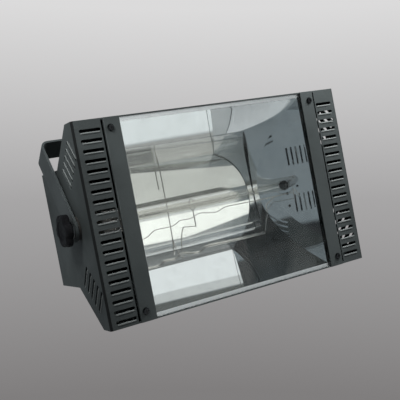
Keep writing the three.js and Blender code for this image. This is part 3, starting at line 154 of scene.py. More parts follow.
class Graph(Nodes):
    """A material's nodes, which read the piece's own coordinates."""

    def __init__(self, name: str) -> None:
        """Starts an empty material.

        Args:
            name: name of the material.
        """
        self.material = bpy.data.materials.new(name)
        self.material.use_nodes = True
        super().__init__(self.material.node_tree)
        self.place = self.add("TexCoord", {}, "Object")

    def shade(self, inputs: Inputs) -> Material:
        """Ends the tree with a Principled shader that is fed so, and gives the material."""
        self.show("Material", self.add("BsdfPrincipled", inputs))
        return self.material

    def stretched(self, scale: Point, tilt: float = 0.0) -> Socket:
        """Object coordinates, scaled along each axis and tilted about Y, in degrees."""
        turn = (0.0, math.radians(tilt), 0.0)
        return self.add("Mapping", {"Vector": self.place, "Scale": scale, "Rotation": turn})

    def noise(
        self, scale: float, detail: float = 2.0, roughness: float = 0.5, vector: Socket | None = None
    ) -> Socket:
        """Noise of that many features per metre, over the piece or over the given coordinates."""
        inputs = {"Scale": scale, "Detail": detail, "Roughness": roughness, "Vector": vector or self.place}
        return self.add("TexNoise", inputs, "Fac")

    def bump(self, height: Socket, depth: float, strength: float, under: Socket | None = None) -> Socket:
        """Relief from a height pattern, its depth in metres, over another relief or over none."""
        inputs = {"Height": height, "Distance": depth, "Strength": strength, "Normal": under}
        return self.add("Bump", inputs, "Normal")

    def worn(self, patches: Socket) -> Socket:
        """The edge wear that the mesh carries, broken up into patches."""
        return self.calc("MULTIPLY", self.add("Attribute", {}, "Fac", attribute_name=WEAR), patches)


def toned(colour: Colour, share: float, lift: float = 0.0) -> Colour:
    """A darker or a lighter tone of a colour."""
    return tuple(min(1.0, share * value + lift) for value in colour)


@dataclass(frozen=True)
class PowderCoat:
    """Fine-textured powder coat over sheet steel, rubbed a little at its edges."""

    name: str
    colour: Colour
    rubbed: Colour = (0.13, 0.14, 0.14)
    gloss: Span = (0.42, 0.6)
    grain: float = 1500.0
    depth: float = 0.00005
    shine: float = 0.2

    def make(self) -> Material:
        """Builds the material.

        Returns:
            The material.
        """
        graph = Graph(self.name)
        cloud = graph.remap(graph.noise(9.0, 4.0), (0.35, 0.65))
        body = graph.blend(cloud, toned(self.colour, 0.8), toned(self.colour, 1.25))
        speck = graph.noise(self.grain)
        dusted = graph.blend(graph.remap(speck, (0.58, 0.8), (0.0, 0.5)), body, self.rubbed)
        patches = graph.remap(graph.noise(60.0, 4.0), (0.42, 0.66), (0.15, 0.8))
        orange_peel = graph.bump(graph.noise(self.grain * 0.3, 1.0), self.depth * 0.8, 0.7)
        return graph.shade({
            "Base Color": graph.blend(graph.worn(patches), dusted, self.rubbed),
            "Roughness": graph.remap(graph.noise(25.0, 5.0), (0.3, 0.7), self.gloss),
            "Specular IOR Level": self.shine,
            "Normal": graph.bump(speck, self.depth, 0.8, orange_peel),
        })


@dataclass(frozen=True)
class MirrorSheet:
    """Bright rolled mirror sheet with faint rolling waves and a little dust."""

    name: str
    colour: Colour = (0.91, 0.915, 0.92)
    wave: float = 0.0002
    gloss: Span = (0.004, 0.025)

    def make(self) -> Material:
        """Builds the material.

        Returns:
            The material.
        """
        graph = Graph(self.name)
        dust = graph.remap(graph.noise(70.0, 6.0, 0.65), (0.5, 0.8))
        rolled = graph.noise(1.0, 3.0, 0.6, graph.stretched((6.0, 1400.0, 1400.0)))
        waves = graph.noise(1.0, 1.0, 0.5, graph.stretched((5.0, 16.0, 16.0)))
        return graph.shade({
            "Base Color": graph.blend(dust, self.colour, toned(self.colour, 0.93)),
            "Metallic": 1.0,
            "Roughness": graph.remap(rolled, (0.3, 0.7), self.gloss),
            "Normal": graph.bump(waves, self.wave, 0.35),
        })


@dataclass(frozen=True)
class Metal:
    """Metal with a drawn or turned grain along one axis."""

    name: str
    colour: Colour
    along: Axis = Axis.X
    gloss: Span = (0.22, 0.42)
    stained: float = 0.35
    relief: float = 0.00002
    grain_along: float = 60.0
    grain_across: float = 3500.0

    def make(self) -> Material:
        """Builds the material.

        Returns:
            The material.
        """
        graph = Graph(self.name)
        scale = tuple(self.grain_along if axis is self.along else self.grain_across for axis in Axis)
        grain = graph.noise(1.0, 3.0, 0.6, graph.stretched(scale))
        stain = graph.remap(graph.noise(90.0, 5.0, 0.6), (0.45, 0.75), (0.0, self.stained))
        dark = toned(self.colour, 0.55)
        body = graph.blend(graph.remap(grain, (0.3, 0.7), (0.0, 0.35)), self.colour, dark)
        return graph.shade({
            "Base Color": graph.blend(stain, body, dark),
            "Metallic": 1.0,
            "Roughness": graph.remap(grain, (0.3, 0.7), self.gloss),
            "Normal": graph.bump(grain, self.relief, 0.6),
        })


@dataclass(frozen=True)
class Moulded:
    """Moulded plastic, rubber, ceramic or fibre with a fine grain and faint handling marks."""

    name: str
    colour: Colour
    shade: Colour
    gloss: Span = (0.4, 0.6)
    grain: float = 1800.0
    relief: float = 0.00004
    shine: float = 0.5
    clouds: float = 30.0

    def make(self) -> Material:
        """Builds the material.

        Returns:
            The material.
        """
        graph = Graph(self.name)
        cloud = graph.remap(graph.noise(self.clouds, 4.0), (0.35, 0.68))
        body = graph.blend(cloud, self.colour, self.shade)
        worn = graph.worn(graph.remap(graph.noise(120.0, 3.0), (0.4, 0.7), (0.1, 0.6)))
        return graph.shade({
            "Base Color": graph.blend(worn, body, toned(self.colour, 1.5, 0.03)),
            "Roughness": graph.remap(graph.noise(220.0, 4.0), (0.3, 0.7), self.gloss),
            "Specular IOR Level": self.shine,
            "Normal": graph.bump(graph.noise(self.grain), self.relief, 0.7),
        })


@dataclass(frozen=True)
class ClearPane:
    """Thin clear glass: sees through, mirrors by its angle, and carries a film of dust."""

    name: str
    tint: Colour = (0.975, 0.99, 0.987)
    glance: float = 0.022
    dust: float = 0.02
    polish: float = 0.015
    grime: Colour = (0.6, 0.6, 0.58)

    def make(self) -> Material:
        """Builds the material.

        Returns:
            The material.
        """
        graph = Graph(self.name)
        see = graph.add("BsdfTransparent", {"Color": self.tint})
        shine = graph.add("BsdfGlossy", {"Roughness": self.polish})
        grime = graph.add("BsdfDiffuse", {"Color": self.grime})
        steep = graph.calc("POWER", graph.add("LayerWeight", {"Blend": 0.5}, "Facing"), 5.0)
        pane = graph.layer(graph.remap(steep, (0.0, 1.0), (self.glance, 1.0)), see, shine)
        smear = graph.noise(14.0, 5.0, 0.6, graph.stretched((1.0, 1.0, 2.4), 25.0))
        film = graph.layer(graph.remap(smear, (0.4, 0.8), (0.0, self.dust)), pane, grime)
        graph.show("Material", film)
        return graph.material


@dataclass(frozen=True)
class Laminate:
    """Circuit board: solder mask with copper tracks below it and the glass weave's print."""

    name: str
    mask: Colour = (0.018, 0.09, 0.04)
    track: Colour = (0.04, 0.17, 0.07)
    tracks: float = 140.0
    relief: float = 0.00003

    def make(self) -> Material:
        """Builds the material.

        Returns:
            The material.
        """
        graph = Graph(self.name)
        brick = graph.add("TexBrick", {
            "Scale": self.tracks, "Mortar Size": 0.09, "Color1": (0.0, 0.0, 0.0),
            "Color2": (0.25, 0.25, 0.25), "Mortar": (1.0, 1.0, 1.0), "Vector": graph.place,
        }, "Color")
        return graph.shade({
            "Base Color": graph.blend(brick, self.mask, self.track),
            "Roughness": graph.remap(graph.noise(300.0, 3.0), (0.3, 0.7), (0.25, 0.42)),
            "Normal": graph.bump(brick.node.outputs["Fac"], self.relief, 0.6),
        })


class Finishes:
    """Every material of the light, built once."""

    def __init__(self) -> None:
        """Builds the materials."""
        self.coat = PowderCoat("powder_coat", (0.043, 0.05, 0.05)).make()
        self.yoke_coat = PowderCoat("yoke_coat", (0.045, 0.052, 0.053), gloss=(0.38, 0.52)).make()
        # Painted highlight: a paler copy of the powder coat that stands in for light catching the pressed lips.
        self.lip = PowderCoat("lip_coat", (0.13, 0.142, 0.14)).make()
        # Painted shade: a near-black coat that stands in for the shadow line along the end panels' front fold.
        self.bend = PowderCoat("bend_shade_coat", (0.011, 0.012, 0.012), (0.03, 0.03, 0.03)).make()
        self.mirror = MirrorSheet("mirror_sheet").make()
        self.mirror_end = MirrorSheet("mirror_end", (0.88, 0.89, 0.9), 0.00004, (0.004, 0.02)).make()
        self.flange = MirrorSheet("satin_flange", (0.9, 0.91, 0.92), 0.0, (0.34, 0.46)).make()
        self.pane = ClearPane("front_pane").make()
        self.quartz = ClearPane("quartz_tube", (0.972, 0.968, 0.955), 0.06, 0.03).make()
        self.steel = Metal("zinc_plate", (0.55, 0.56, 0.56)).make()
        self.spring = Metal("spring_steel", (0.6, 0.58, 0.54), Axis.Z, (0.15, 0.3)).make()
        self.tungsten = Metal("tungsten", (0.3, 0.29, 0.28), Axis.X, (0.35, 0.5)).make()
        self.oxide = Metal("black_oxide", (0.05, 0.052, 0.055), Axis.Y, (0.3, 0.45), 0.2).make()
        self.mill = Metal("mill_aluminium", (0.62, 0.63, 0.64), Axis.Z, (0.3, 0.5)).make()
        self.copper = Metal("enamelled_copper", (0.55, 0.21, 0.09), Axis.Z, (0.25, 0.4)).make()
        self.brass = Metal("contact_brass", (0.72, 0.55, 0.28), Axis.Y, (0.2, 0.35)).make()
        self.ceramic = Moulded(
            "ceramic", (0.74, 0.72, 0.67), (0.62, 0.59, 0.53), (0.55, 0.75), 900.0, 0.00008
        ).make()
        self.knob = Moulded(
            "knob_moulding", (0.006, 0.006, 0.007), (0.01, 0.01, 0.011), (0.5, 0.68), 1300.0, 0.00006, 0.15
        ).make()
        self.fibre = Moulded(
            "pressed_fibre", (0.02, 0.019, 0.018), (0.035, 0.033, 0.03), (0.8, 0.95), 700.0
        ).make()
        self.plastic = Moulded("black_moulding", (0.014, 0.015, 0.016), (0.022, 0.023, 0.024)).make()
        self.button = Moulded("button_rubber", (0.03, 0.03, 0.032), (0.045, 0.045, 0.047), (0.6, 0.75)).make()
        self.sleeve = Moulded("shrink_sleeve", (0.012, 0.016, 0.03), (0.02, 0.025, 0.042), (0.25, 0.4)).make()
        self.silicone = Moulded("silicone_sleeve", (0.66, 0.6, 0.5), (0.55, 0.5, 0.42), (0.5, 0.65)).make()
        self.tape = Moulded("winding_tape", (0.5, 0.36, 0.07), (0.38, 0.26, 0.05), (0.3, 0.45)).make()
        self.core = Moulded("ferrite", (0.03, 0.029, 0.028), (0.05, 0.048, 0.045), (0.6, 0.8)).make()
        self.smoked = Moulded("smoked_window", (0.028, 0.004, 0.005), (0.02, 0.004, 0.005), (0.05, 0.12)).make()
        self.laminate = Laminate("board_laminate").make()


# Mesh work


def copy_of(node: str) -> Mesh:
    """A merged copy of a CAD node, in the housing's millimetres.

    Args:
        node: the CAD node's name.

    Returns:
        The copy, with its flat faces joined up.
    """
    mesh = bmesh.new()
    mesh.from_mesh(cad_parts[node].data)
    bmesh.ops.translate(mesh, verts=mesh.verts, vec=-FRONT_CENTRE)
    bmesh.ops.scale(mesh, verts=mesh.verts, vec=(1.0 / MM,) * 3)
    bmesh.ops.remove_doubles(mesh, verts=mesh.verts, dist=MERGED)
    bmesh.ops.dissolve_degenerate(mesh, edges=mesh.edges, dist=MERGED)
    bmesh.ops.dissolve_limit(mesh, angle_limit=FLAT, verts=mesh.verts, edges=mesh.edges)
    mesh.normal_update()
    return mesh


def worn_layer(mesh: Mesh) -> bmesh.types.BMLayerItem:
    """The face layer that carries the edge wear."""
    return mesh.faces.layers.float.get(WEAR) or mesh.faces.layers.float.new(WEAR)


def round_edges(mesh: Mesh, width: float, segments: int = 2, least: float = 38.0) -> Mesh:
    """Rounds the sharp edges, and marks the new faces as worn.

    Args:
        mesh: the mesh to work on.
        width: width of the rounding.
        segments: its segments.
        least: the least angle between faces, in degrees, that counts as an edge.

    Returns:
        The same mesh.
    """
    worn_layer(mesh)
    sharp = [
        edge
        for edge in mesh.edges
        if len(edge.link_faces) == 2
        and edge.calc_face_angle(0.0) > math.radians(least)
        and edge.calc_length() > SHORTEST_EDGE * width
    ]
    made = bmesh.ops.bevel(
        mesh, geom=sharp, offset=width, offset_type="OFFSET", segments=segments, profile=0.5,
        affect="EDGES", clamp_overlap=True, material=-1, harden_normals=False,
    )
    layer = worn_layer(mesh)
    for face in made["faces"]:
        face[layer] = 1.0
    return mesh


def paint(mesh: Mesh, test: Callable[[Vector], bool]) -> None:
    """Gives the faces whose middle passes the test the piece's second finish."""
    for face in mesh.faces:
        face.material_index = int(test(face.calc_center_median()))


def moved(mesh: Mesh, matrix: Matrix) -> Mesh:
    """The same mesh, moved or turned."""
    bmesh.ops.transform(mesh, matrix=matrix, verts=mesh.verts)
    return mesh


def both_ends(half: Profile) -> Profile:
    """A profile that is alike at both ends, from its first half."""
    return [*half, *((-along, radius) for along, radius in reversed(half))]


def round_section(along: float, radius: float, thickness: float, points: int) -> Profile:
    """The profile of a ring of round wire."""
    angles = [math.tau * k / points for k in range(points)]
    return [(along + thickness * math.sin(a), radius + thickness * math.cos(a)) for a in angles]


def thread(start: float, pitch: float, turns: int, radius: float, cut: float) -> Profile:
    """The profile of a thread, a valley and a ridge for each turn."""
    valleys = [start + i * pitch for i in range(turns)]
    return [step for v in valleys for step in ((v, radius - cut), (v + pitch / 2, radius))]


def turned(
    profile: Profile, axis: Axis, centre: Sequence[float] = (0.0, 0.0, 0.0), steps: int = 48,
    closed: bool = False,
) -> Mesh:
    """A turned shape.

    Args:
        profile: pairs of place along the axis and radius, in order.
        axis: the axis it is turned about.
        centre: the point of the axis where the place is 0.
        steps: faces round it.
        closed: True where the profile's ends meet, as on a ring.

    Returns:
        The mesh.
    """
    mesh = bmesh.new()
    verts = [mesh.verts.new((radius, 0.0, along)) for along, radius in profile]
    edges = [mesh.edges.new(pair) for pair in zip(verts, verts[1:] + verts[:int(closed)])]
    bmesh.ops.spin(
        mesh, geom=verts + edges, cent=(0.0, 0.0, 0.0), axis=(0.0, 0.0, 1.0), angle=math.tau, steps=steps,
        use_merge=True, use_duplicate=False,
    )
    bmesh.ops.remove_doubles(mesh, verts=mesh.verts, dist=0.001)
    bmesh.ops.dissolve_degenerate(mesh, edges=mesh.edges, dist=0.0005)
    bmesh.ops.recalc_face_normals(mesh, faces=mesh.faces)
    turn = {
        Axis.X: Matrix.Rotation(math.pi / 2, 4, "Y"),
        Axis.Y: Matrix.Rotation(-math.pi / 2, 4, "X"),
        Axis.Z: Matrix.Identity(4),
    }[axis]
    return moved(mesh, Matrix.Translation(centre) @ turn)


def block(low: Sequence[float], high: Sequence[float]) -> Mesh:
    """A box between two corners, ready to be rounded or carved with.

    Args:
        low: its lowest corner.
        high: its highest corner.

    Returns:
        The mesh.
    """
    mesh = bmesh.new()
    bmesh.ops.create_cube(mesh, size=1.0)
    bmesh.ops.scale(mesh, verts=mesh.verts, vec=Vector(high) - Vector(low))
    bmesh.ops.translate(mesh, verts=mesh.verts, vec=(Vector(high) + Vector(low)) / 2)
    return mesh


def settled(name: str, mesh: Mesh) -> bpy.types.Mesh:
    """Turns a mesh into mesh data, and frees it.

    Args:
        name: name of the data.
        mesh: the mesh.

    Returns:
        The data.
    """
    data = bpy.data.meshes.new(name)
    mesh.to_mesh(data)
    mesh.free()
    return data


def in_scene(name: str, data: bpy.types.ID) -> bpy.types.Object:
    """Puts data in the scene.

    Args:
        name: name of the object.
        data: what it shows.

    Returns:
        The new object.
    """
    item = bpy.data.objects.new(name, data)
    bpy.context.scene.collection.objects.link(item)
    return item


def gather(*groups: Sequence[Mesh]) -> Mesh:
    """Joins meshes to one.

    Args:
        groups: the meshes that take the piece's first finish, its second, and so on.

    Returns:
        One mesh that holds them all.
    """
    whole = bmesh.new()
    worn_layer(whole)
    for index, group in enumerate(groups):
        for part in group:
            worn_layer(part)
            for face in part.faces:
                face.material_index = index
            loose = settled("loose", part)
            whole.from_mesh(loose)
            bpy.data.meshes.remove(loose)
    return whole


def carved(mesh: Mesh, tool: Mesh) -> Mesh:
    """Cuts a tool's shape out of a mesh.

    Args:
        mesh: the closed mesh to cut.
        tool: the closed shape to take away.

    Returns:
        What is left.
    """
    objects = []
    for part in (mesh, tool):
        bmesh.ops.recalc_face_normals(part, faces=part.faces)
        objects.append(in_scene("carving", settled("carving", part)))
    body, cutter = objects
    step = body.modifiers.new("cut", "BOOLEAN")
    step.operation = "DIFFERENCE"
    step.solver = "EXACT"
    step.object = cutter
    left = bmesh.new()
    left.from_mesh(body.evaluated_get(bpy.context.evaluated_depsgraph_get()).to_mesh())
    for item in objects:
        data = item.data
        bpy.data.objects.remove(item)
        bpy.data.meshes.remove(data)
    worn_layer(left)
    return left


@dataclass
class Assembly:
    """A sub-assembly of the light, with what each one does to its meshes."""

    finishes: Finishes

    def publish(
        self, mesh: Mesh, node: str, slot: str, *finishes: Material, body: str = "housing",
        stands_in: bool = True, crease: float = 42.0, smoothing: int = 0, weighted: bool = True,
    ) -> None:
        """Turns a mesh into a piece of the scene that rides on its body.

        Args:
            mesh: the mesh, in the housing's millimetres.
            node: the CAD node that it stands for, or else the piece's own name.
            slot: the record's material slot; not used.
            finishes: its materials, in order.
            body: the CAD body it rides on.
            stands_in: True where it stands for a CAD node.
            crease: the least angle, in degrees, that stays sharp when it is shaded.
            smoothing: levels of subdivision.
            weighted: True to shade flat faces flat next to rounded edges.
        """
        name = node + "_made" if stands_in else node
        bmesh.ops.scale(mesh, verts=mesh.verts, vec=(MM,) * 3)
        bmesh.ops.translate(mesh, verts=mesh.verts, vec=FRONT_CENTRE)
        data = settled(name, mesh)
        for finish in finishes:
            data.materials.append(finish)
        data.polygons.foreach_set("use_smooth", [True] * len(data.polygons))
        data.set_sharp_from_angle(angle=math.radians(crease))
        piece = in_scene(name, data)
        if smoothing:
            levels = piece.modifiers.new("smooth", "SUBSURF")
            levels.levels = levels.render_levels = smoothing
        if weighted:
            piece.modifiers.new("normals", "WEIGHTED_NORMAL").keep_sharp = True
        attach(piece, body)
        if stands_in:
            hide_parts(node)
        log.info("%s: %d faces on %s", name, len(data.polygons), body)

    def dress(
        self, node: str, finish: Material, slot: str, width: float, segments: int,
        body: str = "housing", least: float = 38.0,
    ) -> None:
        """Replaces a CAD node by its rounded copy, in a finish of its own.

        Args:
            node: the CAD node.
            finish: its material.
            slot: the record's material slot.
            width: width of its rounded edges.
            segments: segments of the rounding.
            body: the CAD body that carries it.
            least: the least edge angle that is rounded, in degrees.
        """
        mesh = round_edges(copy_of(node), width, segments, least)
        self.publish(mesh, node, slot, finish, body=body)


# Housing


@dataclass
class Housing(Assembly):
    """Shell, end panels, rear panel, strips and the screws that hold them."""

    edge: float = 0.3
    strip_edge: float = 0.35
    half_width: float = 200.0
    head_radius: float = 4.2
    head_height: float = 2.4
    head_edge: float = 0.9
    crown_radius: float = 2.7
    crown_steps: int = 4
    shank_radius: float = 2.0
    shank_length: float = 7.0
    thread_pitch: float = 0.7
    thread_cut: float = 0.28
    recess_reach: float = 2.2
    recess_half_width: float = 0.5
    recess_depth: float = 1.3
    recess_taper: float = 0.72
    strip_screw: Point = (152.5, -1.8, 112.0)
    rear_screw: Point = (166.0, 150.3, 62.0)
    slot_x: float = 178.25
    slot_reach: float = 13.75
    slot_pitch: float = 12.05
    slot_drop: float = 3.1
    slot_tops: Sequence[tuple[Side, float, int]] = ((Side.LEFT, 112.0, 20), (Side.RIGHT, 105.0, 19))
    lip_radius: float = 1.25
    lip_sunk: float = 0.35
    vent_reach: float = 17.0
    vent_pitch: float = 11.5
    vent_first: float = 17.0
    vent_middle: float = 30.5
    vent_lip: float = 3.4
    vent_count: int = 5
    lip_edge: float = 121.9
    lip_narrow: float = 123.6
    strip_back: float = -0.4
    bend_from: float = 197.6
    bend_to: float = 3.2
    slope_start: Span = (23.0, 125.0)
    slope_end: Span = (82.0, 76.0)

    def build(self) -> None:
        """Builds the sheet metal and its screws."""
        self.dress("rear_panel", self.finishes.coat, "powder_coat", self.edge, 2)
        self.shell()
        kinds = (("strip", self.strip_screw, -1), ("rear", self.rear_screw, 1))
        for side in Side:
            self.side_sheets(side)
            for level, sign in (("top", 1), ("bottom", -1)):
                for name, (x, y, z), outward in kinds:
                    self.screw(f"{name}_screw_{side.label}_{level}", (side.value * x, y, sign * z), outward)
        for side, top, count in self.slot_tops:
            self.lips(side, top, count)

    def shell(self) -> None:
        """Builds the main shell, whose front lips cover only the edge of the glass."""
        mesh = copy_of("main_shell")
        for vert in mesh.verts:
            if abs(abs(vert.co.z) - self.lip_edge) < 0.1:
                vert.co.z = math.copysign(self.lip_narrow, vert.co.z)
        self.publish(round_edges(mesh, self.edge), "main_shell", "powder_coat", self.finishes.coat)

    def side_sheets(self, side: Side) -> None:
        """Builds the end panel and the strip of one side.

        The panel's front fold is coated near-black, a painted shadow line, and the strip's back is bare metal.

        Args:
            side: their side.
        """
        coat, bend, bare = self.finishes.coat, self.finishes.bend, self.finishes.mirror_end
        node = "end_panel_" + side.label
        panel = round_edges(copy_of(node), self.edge)
        # Faces on the front fold take the near-black coat: painted shade.
        paint(panel, lambda middle: abs(middle.x) > self.bend_from and -0.01 < middle.y < self.bend_to)
        self.publish(panel, node, "powder_coat", coat, bend)
        node = "glass_strip_" + side.label
        strip = round_edges(copy_of(node), self.strip_edge, 3)
        paint(strip, lambda middle: middle.y > self.strip_back)
        self.publish(strip, node, "powder_coat", coat, bare)

    def lip(self, reach: float) -> Mesh:
        """Builds one pressed lip, a slender round bar along X whose ends run out.

        Args:
            reach: half its length.

        Returns:
            The mesh.
        """
        steps = ((0.0, 0.0), (0.7, 0.5), (2.0, 0.9), (3.5, 1.0))
        half = [(-reach + along, share * self.lip_radius) for along, share in steps]
        return turned(both_ends(half), Axis.X, steps=12)

    def lips(self, side: Side, top: float, count: int) -> None:
        """Builds the lips below a column's slots and beside a side plate's vents.

        Args:
            side: the side of both.
            top: height of the column's top slot.
            count: how many slots it has.
        """
        x, reach = side.value * self.slot_x, self.slot_reach - 0.6
        heights = [top - i * self.slot_pitch - self.slot_drop for i in range(count)]
        columns = [moved(self.lip(reach), Matrix.Translation((x, self.lip_sunk, z))) for z in heights]
        start, end = Vector(self.slope_start), Vector(self.slope_end)
        along = (end - start).normalized()
        inward = Vector((along.y, -along.x))
        face = side.value * (self.half_width - self.lip_sunk)
        vents = []
        for up in (1, -1):
            lean = Matrix.Rotation(math.atan2(up * inward.y, inward.x), 4, "X")
            turn = lean @ Matrix.Rotation(math.pi / 2, 4, "Z")
            for i in range(self.vent_count):
                middle = start + along * (self.vent_first + i * self.vent_pitch - self.vent_lip)
                middle += inward * self.vent_middle
                place = Matrix.Translation((face, middle.x, up * middle.y))
                vents.append(moved(self.lip(self.vent_reach - 1.0), place @ turn))
        # The lips take the paler lip coat, a painted highlight.
        for name, bars in (("column_lips_", columns), ("vent_lips_", vents)):
            self.publish(
                gather(bars), name + side.label, "powder_coat", self.finishes.lip, stands_in=False, crease=30.0
            )

    def screw(self, node: str, place: Point, outward: int) -> None:
        """Builds a pan-head screw with a cross recess.

        Args:
            node: the CAD node it stands for.
            place: where its head rests.
            outward: the sign of Y that its head points to.
        """
        crown = []
        for i in range(self.crown_steps + 1):
            share = i / self.crown_steps
            radius = self.head_radius + (self.crown_radius - self.head_radius) * share
            rise = math.sin(share * math.pi / 2) * (self.head_height - self.head_edge)
            crown.append((self.head_edge + rise, radius))
        top, tip, pitch, radius = self.head_height, -self.shank_length, self.thread_pitch, self.shank_radius
        turns = int(self.shank_length / pitch)
        profile = [
            (tip, 0.0), (tip, radius - 0.5), *thread(tip + 0.3 * pitch, pitch, turns, radius, self.thread_cut),
            (0.0, radius - 0.2), (0.0, self.head_radius - 0.15), (0.15, self.head_radius), *crown,
            (top, 1.2), (top, 0.0),
        ]
        head = turned(profile, Axis.Y, steps=32)
        long, short = self.recess_reach, self.recess_half_width
        for x, z in ((long, short), (short, long)):
            bar = block((-x, top - self.recess_depth, -z), (x, top + 1.0, z))
            low = [v for v in bar.verts if v.co.y < top]
            bmesh.ops.scale(bar, verts=low, vec=(self.recess_taper, 1.0, self.recess_taper))
            head = carved(head, bar)
        turn = Matrix.Rotation(math.pi if outward < 0 else 0.0, 4, "X")
        moved(head, Matrix.Translation(place) @ turn)
        self.publish(head, node, "black_screw", self.finishes.oxide, crease=35.0)


# Front: glass, reflector and lamp


@dataclass
class Optics(Assembly):
    """Front glass and the mirror trough behind it."""

    half_length: float = 156.0
    depth: float = 88.0
    mouth_half: float = 119.0
    mouth_depth: float = 4.3
    flange_end: float = 123.2
    sheet: float = 1.0
    steps: int = 96
    plate_outer: float = 141.5
    plate_shift: float = 3.2
    plate_lean: float = math.tan(math.radians(24.5))
    rim_stretch: float = 1.004
    rim_back: float = 0.45
    lamp_depth: float = 45.76
    hole_radius: float = 9.0
    hole_narrow: float = 7.25

    def build(self) -> None:
        """Builds the glass, the trough and its end plates."""
        pane = copy_of("front_glass")
        for vert in pane.verts:
            vert.co.z = math.copysign(self.flange_end, vert.co.z)
        self.publish(round_edges(pane, 0.3), "front_glass", "glass", self.finishes.pane)
        self.trough()
        for side in Side:
            self.end(side)

    def end(self, side: Side) -> None:
        """Builds an end of the reflector, whose mirror plate bears on the trough.

        Args:
            side: the end's side.
        """
        node = "reflector_end_" + side.label
        mesh = copy_of(node)
        plate = [vert for vert in mesh.verts if abs(vert.co.x) < self.plate_outer]
        bmesh.ops.translate(mesh, verts=plate, vec=(-side.value * self.plate_shift, 0.0, 0.0))
        axis = Vector((0.0, self.lamp_depth, 0.0))
        for vert in plate:
            reach = vert.co - axis
            reach.x = 0.0
            if reach.length < self.hole_radius + 0.4:
                step = reach * (self.hole_narrow / reach.length - 1.0)
                vert.co += step - Vector((side.value * step.y * self.plate_lean, 0.0, 0.0))
        bmesh.ops.scale(mesh, verts=plate, vec=(1.0, 1.0, self.rim_stretch))
        back = [vert for vert in plate if vert.co.y > 2 * self.mouth_depth]
        bmesh.ops.translate(mesh, verts=back, vec=(0.0, self.rim_back, 0.0))
        worn_layer(mesh)
        self.publish(mesh, node, "mirror", self.finishes.mirror_end, crease=20.0)

    def trough(self) -> None:
        """Builds the parabolic trough as one smooth sheet with its two front flanges."""
        mesh = bmesh.new()
        bmesh.ops.create_grid(
            mesh, x_segments=12, y_segments=self.steps, size=1.0,
            matrix=Matrix.Diagonal((self.half_length, self.flange_end, 1.0, 1.0)),
        )
        mouth = self.mouth_half
        width = mouth**2 / (self.depth - self.mouth_depth)
        for vert in mesh.verts:
            height, back = vert.co.y, self.depth - vert.co.y**2 / width
            if abs(height) > mouth:
                height, back = math.copysign(self.flange_end, height), self.mouth_depth
            vert.co = Vector((vert.co.x, back, height))
        for sign in (1, -1):
            rim = [v for v in mesh.verts if sign * v.co.z > mouth - 3 and abs(v.co.z) < mouth]
            edge = max(sign * v.co.z for v in rim)
            for vert in rim:
                if sign * vert.co.z > edge - 0.01:
                    vert.co.y, vert.co.z = self.mouth_depth, sign * mouth
        bmesh.ops.remove_doubles(mesh, verts=mesh.verts, dist=0.01)
        bmesh.ops.recalc_face_normals(mesh, faces=mesh.faces)
        middle = min(mesh.faces, key=lambda face: face.calc_center_median().z ** 2)
        if middle.normal.y > 0:
            bmesh.ops.reverse_faces(mesh, faces=mesh.faces)
        bmesh.ops.solidify(mesh, geom=list(mesh.faces), thickness=-self.sheet)
        worn_layer(mesh)
        paint(mesh, lambda middle: abs(middle.z) > mouth - 0.5)
        mirror, flange = self.finishes.mirror, self.finishes.flange
        self.publish(mesh, "reflector_trough", "mirror", mirror, flange, crease=30.0)


